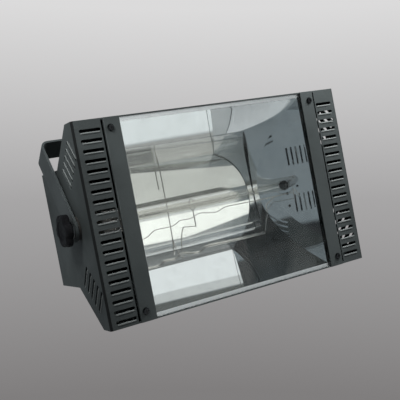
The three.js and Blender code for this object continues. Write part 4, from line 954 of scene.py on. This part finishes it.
@dataclass
class Lamp(Assembly):
    """Xenon tube with its electrodes, caps, holders, clip, trigger wire and leads."""

    depth: float = 45.76
    tube_half: float = 138.0
    radius: float = 7.0
    bore: float = 5.7
    electrode_reach: float = 14.5
    cap_inner: float = 138.3
    cap_length: float = 30.0
    cap_radius: float = 6.0
    cap_rings: int = 4
    clip_x: float = -38.0
    clip_share: float = 0.35

    def build(self) -> None:
        """Builds the lamp."""
        self.tube()
        for side in Side:
            self.cap(side)
            self.dress("lamp_holder_" + side.label, self.finishes.ceramic, "ceramic", 0.7, 3)
            self.wire("lamp_lead_" + side.label, self.finishes.silicone, "silicone")
        clip = copy_of("lamp_clip")
        middle = Matrix.Translation((-self.clip_x, 0.0, 0.0))
        bmesh.ops.scale(clip, verts=clip.verts, vec=(self.clip_share, 1.0, 1.0), space=middle)
        self.publish(round_edges(clip, 0.15, 1), "lamp_clip", "steel", self.finishes.spring)
        self.wire("trigger_wire", self.finishes.spring, "steel")

    def wire(self, node: str, finish: Material, slot: str) -> None:
        """Replaces a wire's CAD node by its smoothed copy."""
        self.publish(copy_of(node), node, slot, finish, crease=180.0, smoothing=2, weighted=False)

    def tube(self) -> None:
        """Builds the glass tube with sealed ends, and the electrodes inside it."""
        end = self.tube_half
        centre = (0.0, self.depth, 0.0)
        skin = [(-end, 0.0), (-end, 4.6), (-end + 1.0, 6.0), (-end + 3.0, 6.8), (-end + 5.0, self.radius)]
        hollow = [(-end + 9.0, 0.0), (-end + 9.4, 3.2), (-end + 12.0, 5.2), (-end + 15.0, self.bore)]
        walls = [turned(both_ends(half), Axis.X, centre) for half in (skin, hollow)]
        bmesh.ops.reverse_faces(walls[1], faces=walls[1].faces)
        self.publish(gather(walls), "lamp_tube", "quartz", self.finishes.quartz, crease=40.0, weighted=False)
        tip, root = end - self.electrode_reach, end - 8.6
        rod = (
            (tip - 3.0, 0.0), (tip - 3.0, 1.6), (tip - 2.2, 2.2), (tip + 4.0, 2.2), (tip + 4.6, 1.4),
            (root, 1.1), (root, 0.0),
        )
        for side in Side:
            electrode = turned([(side.value * along, radius) for along, radius in rod], Axis.X, centre, 24)
            self.publish(
                electrode, "electrode_" + side.label, "steel", self.finishes.tungsten, stands_in=False,
                crease=30.0,
            )

    def cap(self, side: Side) -> None:
        """Builds a crimped end cap.

        Args:
            side: the end it closes.
        """
        start, end, wide = self.cap_inner, self.cap_inner + self.cap_length, self.cap_radius
        rings = []
        for i in range(self.cap_rings):
            along = start + 3.0 + 2.2 * i
            rings += [(along, wide), (along + 0.5, wide - 0.5), (along + 1.1, wide - 0.5), (along + 1.6, wide)]
        profile = [
            (start, 0.0), (start, wide - 0.4), (start + 0.5, wide), *rings,
            (end - 0.8, wide), (end, wide - 0.8), (end, 0.0),
        ]
        faced = [(side.value * along, radius) for along, radius in profile]
        mesh = turned(faced, Axis.X, (0.0, self.depth, 0.0), 40)
        self.publish(mesh, "lamp_cap_" + side.label, "steel", self.finishes.steel, crease=30.0)


# Yoke and clamps


@dataclass
class YokeAndClamps(Assembly):
    """The yoke, and at each pivot the nut, spacer, washer and star knob."""

    pivot_depth: float = 48.0
    knob_inner: float = 209.0
    knob_height: float = 12.0
    neck_height: float = 3.0
    neck_radius: float = 12.0
    radius: float = 21.5
    lobes: int = 6
    valley: float = 3.9
    core_share: float = 0.6
    stud_radius: float = 4.0
    stud_length: float = 24.0
    thread_pitch: float = 1.25

    def build(self) -> None:
        """Builds the yoke and both clamps."""
        steel, fibre = self.finishes.steel, self.finishes.fibre
        self.dress("yoke", self.finishes.yoke_coat, "yoke_coat", 0.6, 3, "yoke")
        for side in Side:
            name = side.label
            self.dress("pivot_nut_" + name, steel, "steel", 0.4, 2)
            self.dress("spacer_washer_" + name, fibre, "fibre", 0.5, 2)
            self.dress("outer_washer_" + name, steel, "steel", 0.25, 2, "washer_" + name)
            self.knob(side)

    def knob(self, side: Side) -> None:
        """Builds a star knob with rounded lobes, a sunk middle and its threaded stud.

        Args:
            side: the end it clamps.
        """
        inner, neck_radius, stud_radius = self.knob_inner, self.neck_radius, self.stud_radius
        base, top = inner + self.neck_height, inner + self.knob_height
        levels = [
            (base, 0.0), (base, 0.92), (base + 0.35, 0.965), (base + 1.0, 0.99), (base + 2.0, 1.0),
            (top - 3.4, 1.0), (top - 2.0, 0.985), (top - 0.9, 0.945), (top - 0.25, 0.885), (top, 0.81),
            (top, 0.62), (top - 0.3, 0.58), (top - 1.0, 0.55), (top - 1.2, 0.5), (top - 1.2, 0.0),
        ]
        head = turned([(along, self.radius * share) for along, share in levels], Axis.X, steps=120)
        for vert in head.verts:
            reach = math.hypot(vert.co.y, vert.co.z)
            if reach < self.core_share * self.radius:
                continue
            angle = math.atan2(vert.co.z, vert.co.y)
            wave = 0.5 - 0.5 * math.cos(self.lobes * angle)
            share = min(1.0, (reach / self.radius - self.core_share) / 0.3)
            pull = 1.0 - share * self.valley / self.radius * wave**1.6
            vert.co.y *= pull
            vert.co.z *= pull
        neck = turned([
            (inner, stud_radius), (inner, neck_radius - 1.0), (inner + 0.4, neck_radius - 0.3),
            (inner + 1.0, neck_radius), (base + 0.2, neck_radius + 0.6), (base + 0.2, stud_radius),
        ], Axis.X, steps=60, closed=True)
        tip, pitch = inner - self.stud_length, self.thread_pitch
        turns = int((self.stud_length - 3.0) / pitch)
        stud = turned([
            (tip, 0.0), (tip, stud_radius - 1.0), *thread(tip + 1.0, pitch, turns, stud_radius, 0.6),
            (inner + 1.0, stud_radius - 0.3), (inner + 1.0, 0.0),
        ], Axis.X, steps=28)
        place = Matrix.Translation((0.0, self.pivot_depth, 0.0))
        if side is Side.LEFT:
            place = place @ Matrix.Rotation(math.pi, 4, "Z")
        mesh = moved(gather([head, neck], [stud]), place)
        self.publish(
            mesh, "clamp_knob_" + side.label, "black_plastic", self.finishes.knob, self.finishes.steel,
            body="knob_" + side.label, crease=50.0,
        )


# Rear: controls, sockets and fan


@dataclass
class RearControls(Assembly):
    """Display, buttons, signal sockets, mains inlet and fuse on the rear panel."""

    in_x: float = -132.0
    out_x: float = -96.0
    level: float = -26.0
    contact_circle: float = 4.4
    contact_reach: float = 1.9
    pin_from: float = 138.8
    hole_to: float = 151.4
    inlet_x: float = -24.0
    inlet_pins: Profile = ((-7.0, -2.0), (0.0, 2.0), (7.0, -2.0))
    inlet_pin_half: Span = (1.2, 2.2)
    inlet_pin_from: float = 136.5

    def build(self) -> None:
        """Builds every control."""
        look, plastic = self.finishes, self.finishes.plastic
        self.dress("display_window", look.smoked, "smoked_window", 0.5, 3)
        self.dress("control_board", look.laminate, "laminate", 0.15, 1)
        for i in range(1, 5):
            self.dress(f"menu_button_{i}", look.button, "black_plastic", 0.6, 3, f"button_{i}", 50.0)
        self.dress("fuse_holder", plastic, "black_plastic", 0.5, 2)
        self.dress("fuse_cap", plastic, "black_plastic", 0.5, 3, "fuse_cap")
        self.dress("socket_latch", look.steel, "steel", 0.4, 2, "latch")
        self.socket("signal_socket_in", look.brass, lambda at: self.at_contact(at, self.in_x, False))
        self.socket("signal_socket_out", look.brass, lambda at: self.at_contact(at, self.out_x, True))
        self.socket("mains_inlet", look.steel, self.at_pin)

    def socket(self, node: str, metal: Material, test: Callable[[Vector], bool]) -> None:
        """Dresses a socket, with metal where its contacts are.

        Args:
            node: the CAD node.
            metal: the contacts' material.
            test: True for a point on a contact.
        """
        mesh = round_edges(copy_of(node), 0.35)
        paint(mesh, test)
        self.publish(mesh, node, "black_plastic", self.finishes.plastic, metal)

    def at_contact(self, at: Vector, x: float, sunk: bool) -> bool:
        """Tells whether a point is on one of a signal socket's three contacts.

        Args:
            at: the point.
            x: the socket's place along the light.
            sunk: True where the contacts are holes.

        Returns:
            True on a contact, which stands or sinks.
        """
        angles = [math.tau * i / 3 for i in range(3)]
        places = [
            (x + self.contact_circle * math.cos(a), self.level + self.contact_circle * math.sin(a))
            for a in angles
        ]
        near = any(math.hypot(at.x - a, at.z - b) < self.contact_reach for a, b in places)
        return near and (at.y < self.hole_to if sunk else at.y > self.pin_from)

    def at_pin(self, at: Vector) -> bool:
        """Tells whether a point is on one of the mains inlet's three pins.

        Args:
            at: the point.

        Returns:
            True on a pin.
        """
        x, z = at.x - self.inlet_x, at.z - self.level
        wide, high = self.inlet_pin_half
        near = any(abs(x - a) < wide and abs(z - b) < high for a, b in self.inlet_pins)
        return near and at.y > self.inlet_pin_from


@dataclass
class Fan(Assembly):
    """Axial fan with a bent-blade rotor and a wire guard."""

    x: float = 112.0
    rear: float = 148.2
    wall: float = 3.0
    hub_radius: float = 13.0
    hub_length: float = 17.0
    tip_radius: float = 26.2
    blades: int = 7
    blade_sheet: float = 1.5
    chord: float = 14.0
    pitch: float = 38.0
    twist: float = 14.0
    camber: float = 1.6
    sweep: float = 2.2
    bore: float = 2.8
    wire: float = 0.9
    ring_pitch: float = 7.0
    rings: int = 4
    wire_plane: float = 154.2
    bar_plane: float = 153.0
    eye: float = 25.0

    def build(self) -> None:
        """Builds frame, rotor and guard."""
        plastic, place = self.finishes.plastic, Matrix.Translation((self.x, 0.0, 0.0))
        self.dress("fan_frame", plastic, "black_plastic", 0.5, 2)
        self.publish(moved(self.rotor(), place), "fan_rotor", "black_plastic", plastic, body="rotor")
        self.publish(moved(self.guard(), place), "fan_guard", "black_screw", self.finishes.oxide)

    def rotor(self) -> Mesh:
        """Builds the hub and its cambered, twisted blades.

        Returns:
            The mesh, about the fan's axis.
        """
        hub = self.hub_radius
        back = self.rear - self.wall - 0.3
        front = back - self.hub_length
        profile = [
            (front, self.bore), (front, hub - 2.4), (front + 0.5, hub - 0.9), (front + 2.0, hub),
            (back, hub), (back, self.bore),
        ]
        parts = [turned(profile, Axis.Y, steps=56, closed=True)]
        middle, root = (front + back) / 2, hub - 1.2
        for i in range(self.blades):
            blade = bmesh.new()
            bmesh.ops.create_grid(blade, x_segments=8, y_segments=8, size=1.0)
            for vert in blade.verts:
                share = (vert.co.x + 1) / 2
                twist = math.radians(self.pitch + self.twist * (0.5 - share))
                flat = vert.co.y * self.chord / 2 * (0.92 + 0.12 * share)
                bow = self.camber * (1 - vert.co.y**2)
                vert.co = Vector((
                    root + (self.tip_radius - root) * share,
                    middle + flat * math.cos(twist) - bow * math.sin(twist),
                    flat * math.sin(twist) + bow * math.cos(twist) + self.sweep * share**2,
                ))
                over = math.hypot(vert.co.x, vert.co.z) / self.tip_radius
                if over > 1.0:
                    vert.co.x /= over
                    vert.co.z /= over
            bmesh.ops.recalc_face_normals(blade, faces=blade.faces)
            bmesh.ops.solidify(blade, geom=list(blade.faces), thickness=self.blade_sheet)
            parts.append(moved(blade, Matrix.Rotation(math.tau * i / self.blades, 4, "Y")))
        return gather(parts)

    def guard(self) -> Mesh:
        """Builds the guard: round wires in rings, two crossing bars and four eyes.

        Returns:
            The mesh, about the fan's axis.
        """
        parts = []
        for i in range(1, self.rings + 1):
            section = round_section(self.wire_plane, i * self.ring_pitch, self.wire, 10)
            parts.append(turned(section, Axis.Y, steps=64, closed=True))
        reach, plane = self.eye * math.sqrt(2.0), self.bar_plane
        for turn in (math.pi / 4, -math.pi / 4):
            bar = turned(both_ends([(-reach, 0.0), (-reach, self.wire)]), Axis.X, (0.0, plane, 0.0), 12)
            parts.append(moved(bar, Matrix.Rotation(turn, 4, "Y")))
        foot = (
            (150.3, 0.0), (150.3, 3.7), (150.6, 4.0), (151.6, 4.0), (151.9, 3.7), (151.9, 1.4),
            (plane + self.wire, 1.0), (plane + self.wire + 0.2, 0.0),
        )
        for x in (-self.eye, self.eye):
            parts += [turned(foot, Axis.Y, (x, 0.0, z), 24) for z in (-self.eye, self.eye)]
        return gather(parts)


# Electronics


@dataclass
class PowerBoard(Assembly):
    """Circuit board with capacitors, choke, trigger transformer, small parts and heat sink."""

    capacitors: int = 4
    can_radius: float = 12.0
    can_disc: float = 10.4
    score_half: Span = (7.5, 0.35)
    windings: int = 26
    winding_gap: int = 3
    choke_radius: float = 13.0
    section: float = 6.0
    winding_room: float = 1.6
    wire: float = 0.75
    plate: float = 5.0
    resistor_height: float = 2.6
    resistors: Profile = ((-150.0, 96.0), (-113.0, 95.0), (-86.0, 95.0), (30.0, 96.0), (38.0, 132.0))

    def build(self) -> None:
        """Builds the board and what stands on it."""
        self.dress("circuit_board", self.finishes.laminate, "laminate", 0.15, 1)
        self.dress("heatsink", self.finishes.mill, "aluminium", 0.25, 1)
        for i in range(1, self.capacitors + 1):
            self.capacitor(f"capacitor_{i}")
        self.choke()
        self.transformer()
        self.small_parts()

    def frame_box(self, node: str) -> tuple[Vector, Vector, Vector]:
        """A CAD node's lowest corner, highest corner and middle, in the housing's millimetres."""
        low, high = ((corner - FRONT_CENTRE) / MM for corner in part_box(node))
        return low, high, (low + high) / 2

    def capacitor(self, node: str) -> None:
        """Builds a sleeved capacitor with a rolled rim and a scored top.

        Args:
            node: the CAD node it stands for.
        """
        low, high, middle = self.frame_box(node)
        base, top, wide = low.z, high.z, self.can_radius
        profile = [
            (base, 0.0), (base, wide - 1.2), (base + 0.5, wide - 0.4), (base + 1.2, wide), (base + 3.0, wide),
            (base + 3.8, wide - 0.8), (base + 4.6, wide - 0.8), (base + 5.4, wide), (top - 1.2, wide),
            (top - 0.4, wide - 0.3), (top, wide - 0.9), (top, wide - 1.8), (top - 0.5, wide - 2.1),
            (top - 0.5, 0.0),
        ]
        mesh = turned(profile, Axis.Z, (middle.x, middle.y, 0.0))
        paint(mesh, lambda at: at.z > top - 1.0 and (at.xy - middle.xy).length < self.can_disc)
        x, y = self.score_half
        for turn in (0.0, 60.0, 120.0):
            score = block((-x, -y, top - 0.85), (x, y, top + 1.0))
            moved(score, Matrix.Rotation(math.radians(turn), 4, "Z"))
            mesh = carved(mesh, moved(score, Matrix.Translation((middle.x, middle.y, 0.0))))
        sleeve, metal = self.finishes.sleeve, self.finishes.mill
        self.publish(mesh, node, "capacitor_sleeve", sleeve, metal, crease=35.0)

    def choke(self) -> None:
        """Builds the ring core with its copper windings."""
        _, _, middle = self.frame_box("choke")
        ring = round_section(middle.z, self.choke_radius, self.section - self.winding_room, 16)
        core = turned(ring, Axis.Z, closed=True)
        loop = round_section(0.0, self.section - self.wire, self.wire, 8)
        coil = []
        for i in range(self.windings):
            turn = turned(loop, Axis.Y, (self.choke_radius, 0.0, middle.z), 20, closed=True)
            angle = math.tau * (i + 0.5) / (self.windings + self.winding_gap)
            coil.append(moved(turn, Matrix.Rotation(angle, 4, "Z")))
        mesh = moved(gather([core], coil), Matrix.Translation((middle.x, middle.y, 0.0)))
        self.publish(mesh, "choke", "copper_winding", self.finishes.core, self.finishes.copper)

    def transformer(self) -> None:
        """Builds the trigger transformer: core, taped winding and output lug."""
        low, high, middle = self.frame_box("trigger_transformer")
        base, top, tip = low.z, high.z - self.plate, high.z
        plates = [
            round_edges(block((low.x, low.y, z), (high.x, high.y, z + self.plate)), 0.5)
            for z in (base, top - self.plate)
        ]
        tape = (
            (base + 4.8, 0.0), (base + 4.8, 9.6), (base + 5.6, 10.3), (top - 5.6, 10.3), (top - 4.8, 9.6),
            (top - 4.8, 0.0),
        )
        lug = (
            (top - 0.2, 0.0), (top - 0.2, 3.0), (top + 1.0, 3.0), (top + 1.3, 2.2), (tip - 0.6, 2.2),
            (tip, 1.7), (tip, 0.0),
        )
        winding = turned(tape, Axis.Z, (middle.x, middle.y, 0.0), 40)
        stud = turned(lug, Axis.Z, (middle.x, middle.y, 0.0), 24)
        self.publish(
            gather(plates, [winding], [stud]), "trigger_transformer", "black_plastic", self.finishes.core,
            self.finishes.tape, self.finishes.steel,
        )

    def small_parts(self) -> None:
        """Builds the power resistors that stand beside the capacitors."""
        top = self.frame_box("capacitor_1")[0].z - 0.3
        half_body = ((-5.0, 0.0), (-5.0, 1.6), (-4.4, 2.1), (-3.4, 2.1), (-2.9, 1.8))
        leg = ((7.0, 0.0), (7.0, 0.4), (4.9, 0.4), (4.9, 0.0))
        post = ((top - 0.2, 0.0), (top - 0.2, 0.9), (top + 0.1, 0.4), (top + 3.0, 0.4), (top + 3.0, 0.0))
        bodies, wires = [], []
        for x, y in self.resistors:
            centre = (x, y, top + self.resistor_height)
            bodies.append(turned(both_ends(half_body), Axis.X, centre, 24))
            for sign in (1, -1):
                faced = [(sign * along, radius) for along, radius in leg]
                wires.append(turned(faced, Axis.X, centre, 10))
                wires.append(turned(post, Axis.Z, (x + sign * 6.6, y, 0.0), 10))
        self.publish(
            gather(bodies, wires), "board_resistors", "ceramic", self.finishes.ceramic, self.finishes.steel,
            stands_in=False,
        )


# Studio


@dataclass(frozen=True)
class Card:
    """A soft-edged patch of the surroundings, given by its angles seen from the light.

    Attributes:
        turn: least and greatest angle to the right of straight ahead, in degrees.
        rise: least and greatest angle above the level, in degrees.
        colour: its brightness.
        soft: width of its fading edge, in degrees.
        lean: degrees of turn that are added for each degree of rise.
    """

    turn: Span
    rise: Span
    colour: Colour
    soft: float
    lean: float = 0.0


@dataclass(frozen=True)
class Softbox:
    """A square lamp of the studio.

    Attributes:
        name: its name.
        place: its place, in the frame.
        target: the point it faces.
        width: its width in metres.
        power: its power in watts.
        spread: the angle of its light, in degrees.
    """

    name: str
    place: Point
    target: Point
    width: float
    power: float
    spread: float


class Sky(Nodes):
    """The world's nodes: a graded backdrop, patches over it, and plain light for matt surfaces."""

    def __init__(self, tree: bpy.types.NodeTree) -> None:
        """Starts the world's node tree.

        Args:
            tree: the world's node tree.
        """
        super().__init__(tree)
        self.ray = self.add("TexCoord", {}, "Generated")
        parts = self.add("SeparateXYZ", {0: self.ray}).node.outputs
        ahead = self.calc("MULTIPLY", parts["Y"], -1.0)
        self.turn = self.calc("DEGREES", self.calc("ARCTAN2", parts["X"], ahead))
        self.rise = self.calc("DEGREES", self.calc("ARCSINE", parts["Z"]))

    def inside(self, angle: Socket, span: Span, soft: float) -> Socket:
        """How far an angle is inside a span.

        Args:
            angle: the angle's socket.
            span: the span's ends.
            soft: width of its fading edges.

        Returns:
            The share's socket, 0 outside and 1 inside.
        """
        edges = [
            self.remap(angle, (end - half, end + half), kind="SMOOTHSTEP")
            for end, half in zip(span, (soft / 2, -soft / 2))
        ]
        return self.calc("MULTIPLY", *edges)

    def graded(self, up: Point, span: float, stops: Stops) -> Socket:
        """A gradient along one direction.

        Args:
            up: the direction.
            span: the sine of the angle where it ends, both ways.
            stops: its colours from the lower end to the upper one.

        Returns:
            The colour's socket.
        """
        height = self.add("VectorMath", {0: self.ray, 1: up}, "Value", operation="DOT_PRODUCT")
        ramp = self.add("ValToRGB", {0: self.remap(height, (-span, span))})
        marks = ramp.node.color_ramp.elements
        while len(marks) < len(stops):
            marks.new(0.5)
        for mark, (place, colour) in zip(marks, stops):
            mark.position = place
            mark.color = (*colour, 1.0)
        return ramp

    def covered(self, behind: Socket, card: Card) -> Socket:
        """Puts a card over what is there.

        Args:
            behind: the colour behind it.
            card: the card.

        Returns:
            The colour's socket.
        """
        turn = self.turn
        if card.lean:
            turn = self.calc("ADD", turn, self.calc("MULTIPLY", self.rise, card.lean))
        across = self.inside(turn, card.turn, card.soft)
        upright = self.inside(self.rise, card.rise, card.soft)
        return self.blend(self.calc("MULTIPLY", across, upright), behind, card.colour)

    def finish(self, seen: Socket, mirrored: Socket, ambient: Socket) -> None:
        """Chooses what each kind of ray sees.

        Args:
            seen: colour behind the light, as the camera sees it.
            mirrored: colour that mirrors and glass show.
            ambient: colour that lights matt surfaces.
        """
        rays = self.add("LightPath", {}).node.outputs
        bright = self.calc("MAXIMUM", rays["Is Glossy Ray"], rays["Is Transmission Ray"])
        behind, room, light = (self.add("Background", {"Color": c}) for c in (seen, mirrored, ambient))
        self.show("World", self.layer(rays["Is Camera Ray"], self.layer(bright, light, room), behind))


@dataclass
class Studio:
    """Camera, soft lamps, world and floor."""

    camera_place: Point = (-472.36, -752.2, 30.65)
    right: Point = (0.85398, -0.4858, -0.1863)
    up: Point = (0.17661, -0.06614, 0.98206)
    back: Point = (-0.48941, -0.87156, 0.02931)
    lens: float = 61.03
    sensor: float = 36.0
    floor_middle: Point = (0.0, -0.05, -0.95)
    floor_radius: float = 1.1
    key: Softbox = Softbox("key", (0.38, -0.32, 0.28), (0.15, -0.12, -0.04), 0.3, 1.55, 80.0)
    fill: Softbox = Softbox("fill", (-0.47, -0.4, 0.42), (-0.16, -0.1, 0.02), 0.25, 0.45, 42.0)
    rear: Softbox = Softbox("rear", (-0.2, 0.75, 0.35), (0.0, -0.06, -0.11), 0.5, 6.0, 180.0)
    backdrop_span: float = 0.27
    backdrop: Stops = (
        (0.0, (0.215, 0.207, 0.207)),
        (0.5, (0.385, 0.378, 0.38)),
        (1.0, (0.71, 0.705, 0.707)),
    )
    ambient_span: float = 0.9
    ambient: Stops = ((0.0, (0.09, 0.095, 0.1)), (0.5, (0.18, 0.185, 0.19)), (1.0, (0.3, 0.31, 0.32)))
    mirror_bounces: int = 16
    cards: Sequence[Card] = (
        Card((-181.0, 181.0), (-95.0, 95.0), (0.2, 0.225, 0.24), 1.0),
        Card((-400.0, -207.3), (-66.0, -40.0), (0.7, 0.71, 0.72), 1.5, 3.0),
        Card((-33.0, -11.0), (-24.0, 1.0), (0.46, 0.47, 0.47), 2.0),
        Card((-100.0, 13.0), (19.0, 80.0), (0.01, 0.011, 0.01), 4.0),
        Card((-26.0, -17.0), (2.0, 22.0), (0.04, 0.043, 0.043), 1.5),
        Card((40.0, 80.0), (49.0, 80.0), (0.05, 0.055, 0.055), 3.0),
        Card((38.0, 70.0), (-14.0, -5.1), (0.03, 0.032, 0.034), 0.5),
        Card((33.5, 38.0), (3.4, 6.6), (0.035, 0.04, 0.04), 0.3),
        Card((20.0, 46.5), (-62.0, -13.0), (0.76, 0.765, 0.75), 1.5),
        Card((47.0, 54.8), (-64.0, -49.5), (0.02, 0.02, 0.018), 1.0),
        Card((12.0, 32.9), (-18.0, -11.5), (0.12, 0.125, 0.12), 0.8),
        Card((12.0, 32.5), (-11.5, -9.3), (0.62, 0.625, 0.62), 0.5),
        Card((12.0, 32.5), (-9.3, -2.4), (0.93, 0.94, 0.94), 0.5),
        Card((12.0, 32.5), (-2.4, 4.0), (0.4, 0.395, 0.38), 0.8),
        Card((12.0, 26.2), (0.9, 3.0), (0.07, 0.07, 0.068), 0.6),
        Card((12.0, 32.8), (4.0, 10.8), (0.88, 0.9, 0.9), 0.8),
        Card((13.5, 39.0), (10.8, 42.8), (1.55, 1.56, 1.54), 1.5),
    )

    def build(self) -> None:
        """Builds the studio."""
        self.camera()
        for softbox in (self.key, self.fill, self.rear):
            self.lamp(softbox)
        self.world()
        self.floor()
        scene = bpy.context.scene
        scene.view_settings.view_transform = "Standard"
        scene.cycles.max_bounces = self.mirror_bounces
        scene.cycles.glossy_bounces = self.mirror_bounces
        scene.cycles.transparent_max_bounces = self.mirror_bounces

    def camera(self) -> None:
        """Sets up the camera at the photograph's viewing angle."""
        data = bpy.data.cameras.new("camera")
        data.lens = self.lens
        data.sensor_width = self.sensor
        camera = in_scene("camera", data)
        axes = Matrix((self.right, self.up, self.back)).transposed().to_4x4()
        place = FRONT_CENTRE + Vector(self.camera_place) * MM
        camera.matrix_world = Matrix.Translation(place) @ axes
        bpy.context.scene.camera = camera

    def lamp(self, softbox: Softbox) -> None:
        """Adds a softbox, which mirrors and glass don't show.

        Args:
            softbox: the softbox.
        """
        data = bpy.data.lights.new(softbox.name, "AREA")
        data.shape = "SQUARE"
        data.size = softbox.width
        data.energy = softbox.power
        data.spread = math.radians(softbox.spread)
        lamp = in_scene(softbox.name, data)
        lamp.visible_glossy = False
        lamp.visible_transmission = False
        lamp.location = softbox.place
        aim = Vector(softbox.target) - Vector(softbox.place)
        lamp.rotation_euler = aim.to_track_quat("-Z", "Y").to_euler()

    def world(self) -> None:
        """Sets up the world: a graded backdrop, what the mirrors see, and light from all round."""
        world = bpy.data.worlds.new("studio")
        bpy.context.scene.world = world
        world.use_nodes = True
        sky = Sky(world.node_tree)
        seen = sky.graded(self.up, self.backdrop_span, self.backdrop)
        mirrored = seen
        for card in self.cards:
            mirrored = sky.covered(mirrored, card)
        sky.finish(seen, mirrored, sky.graded((0.0, 0.0, 1.0), self.ambient_span, self.ambient))

    def floor(self) -> None:
        """Lays a round pale floor whose rim fades out."""
        mesh = bmesh.new()
        place = Matrix.Translation(self.floor_middle)
        bmesh.ops.create_circle(mesh, cap_ends=True, radius=self.floor_radius, segments=96, matrix=place)
        graph = Graph("floor_paint")
        centred = graph.add("Mapping", {"Vector": graph.place, "Location": -Vector(self.floor_middle)})
        far = graph.add("VectorMath", {0: centred}, "Value", operation="LENGTH")
        data = settled("floor", mesh)
        data.materials.append(graph.shade({
            "Base Color": graph.blend(graph.noise(6.0, 4.0), (0.36, 0.355, 0.355), (0.4, 0.395, 0.395)),
            "Roughness": 0.85,
            "Alpha": graph.remap(far, (0.55 * self.floor_radius, self.floor_radius), (1.0, 0.0)),
        }))
        floor = in_scene("floor", data)
        floor.visible_glossy = False


def main() -> None:
    """Builds the light and its studio, and notes the sizes."""
    logging.basicConfig(level=logging.INFO, format="%(name)s: %(message)s")
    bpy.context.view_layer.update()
    finishes = Finishes()
    Studio().build()
    for assembly in (Housing, Optics, Lamp, YokeAndClamps, RearControls, Fan, PowerBoard):
        assembly(finishes).build()
    Assembly(finishes).dress("safety_eye", finishes.yoke_coat, "yoke_coat", 0.4, 3)


if __name__ == "__main__":
    main()
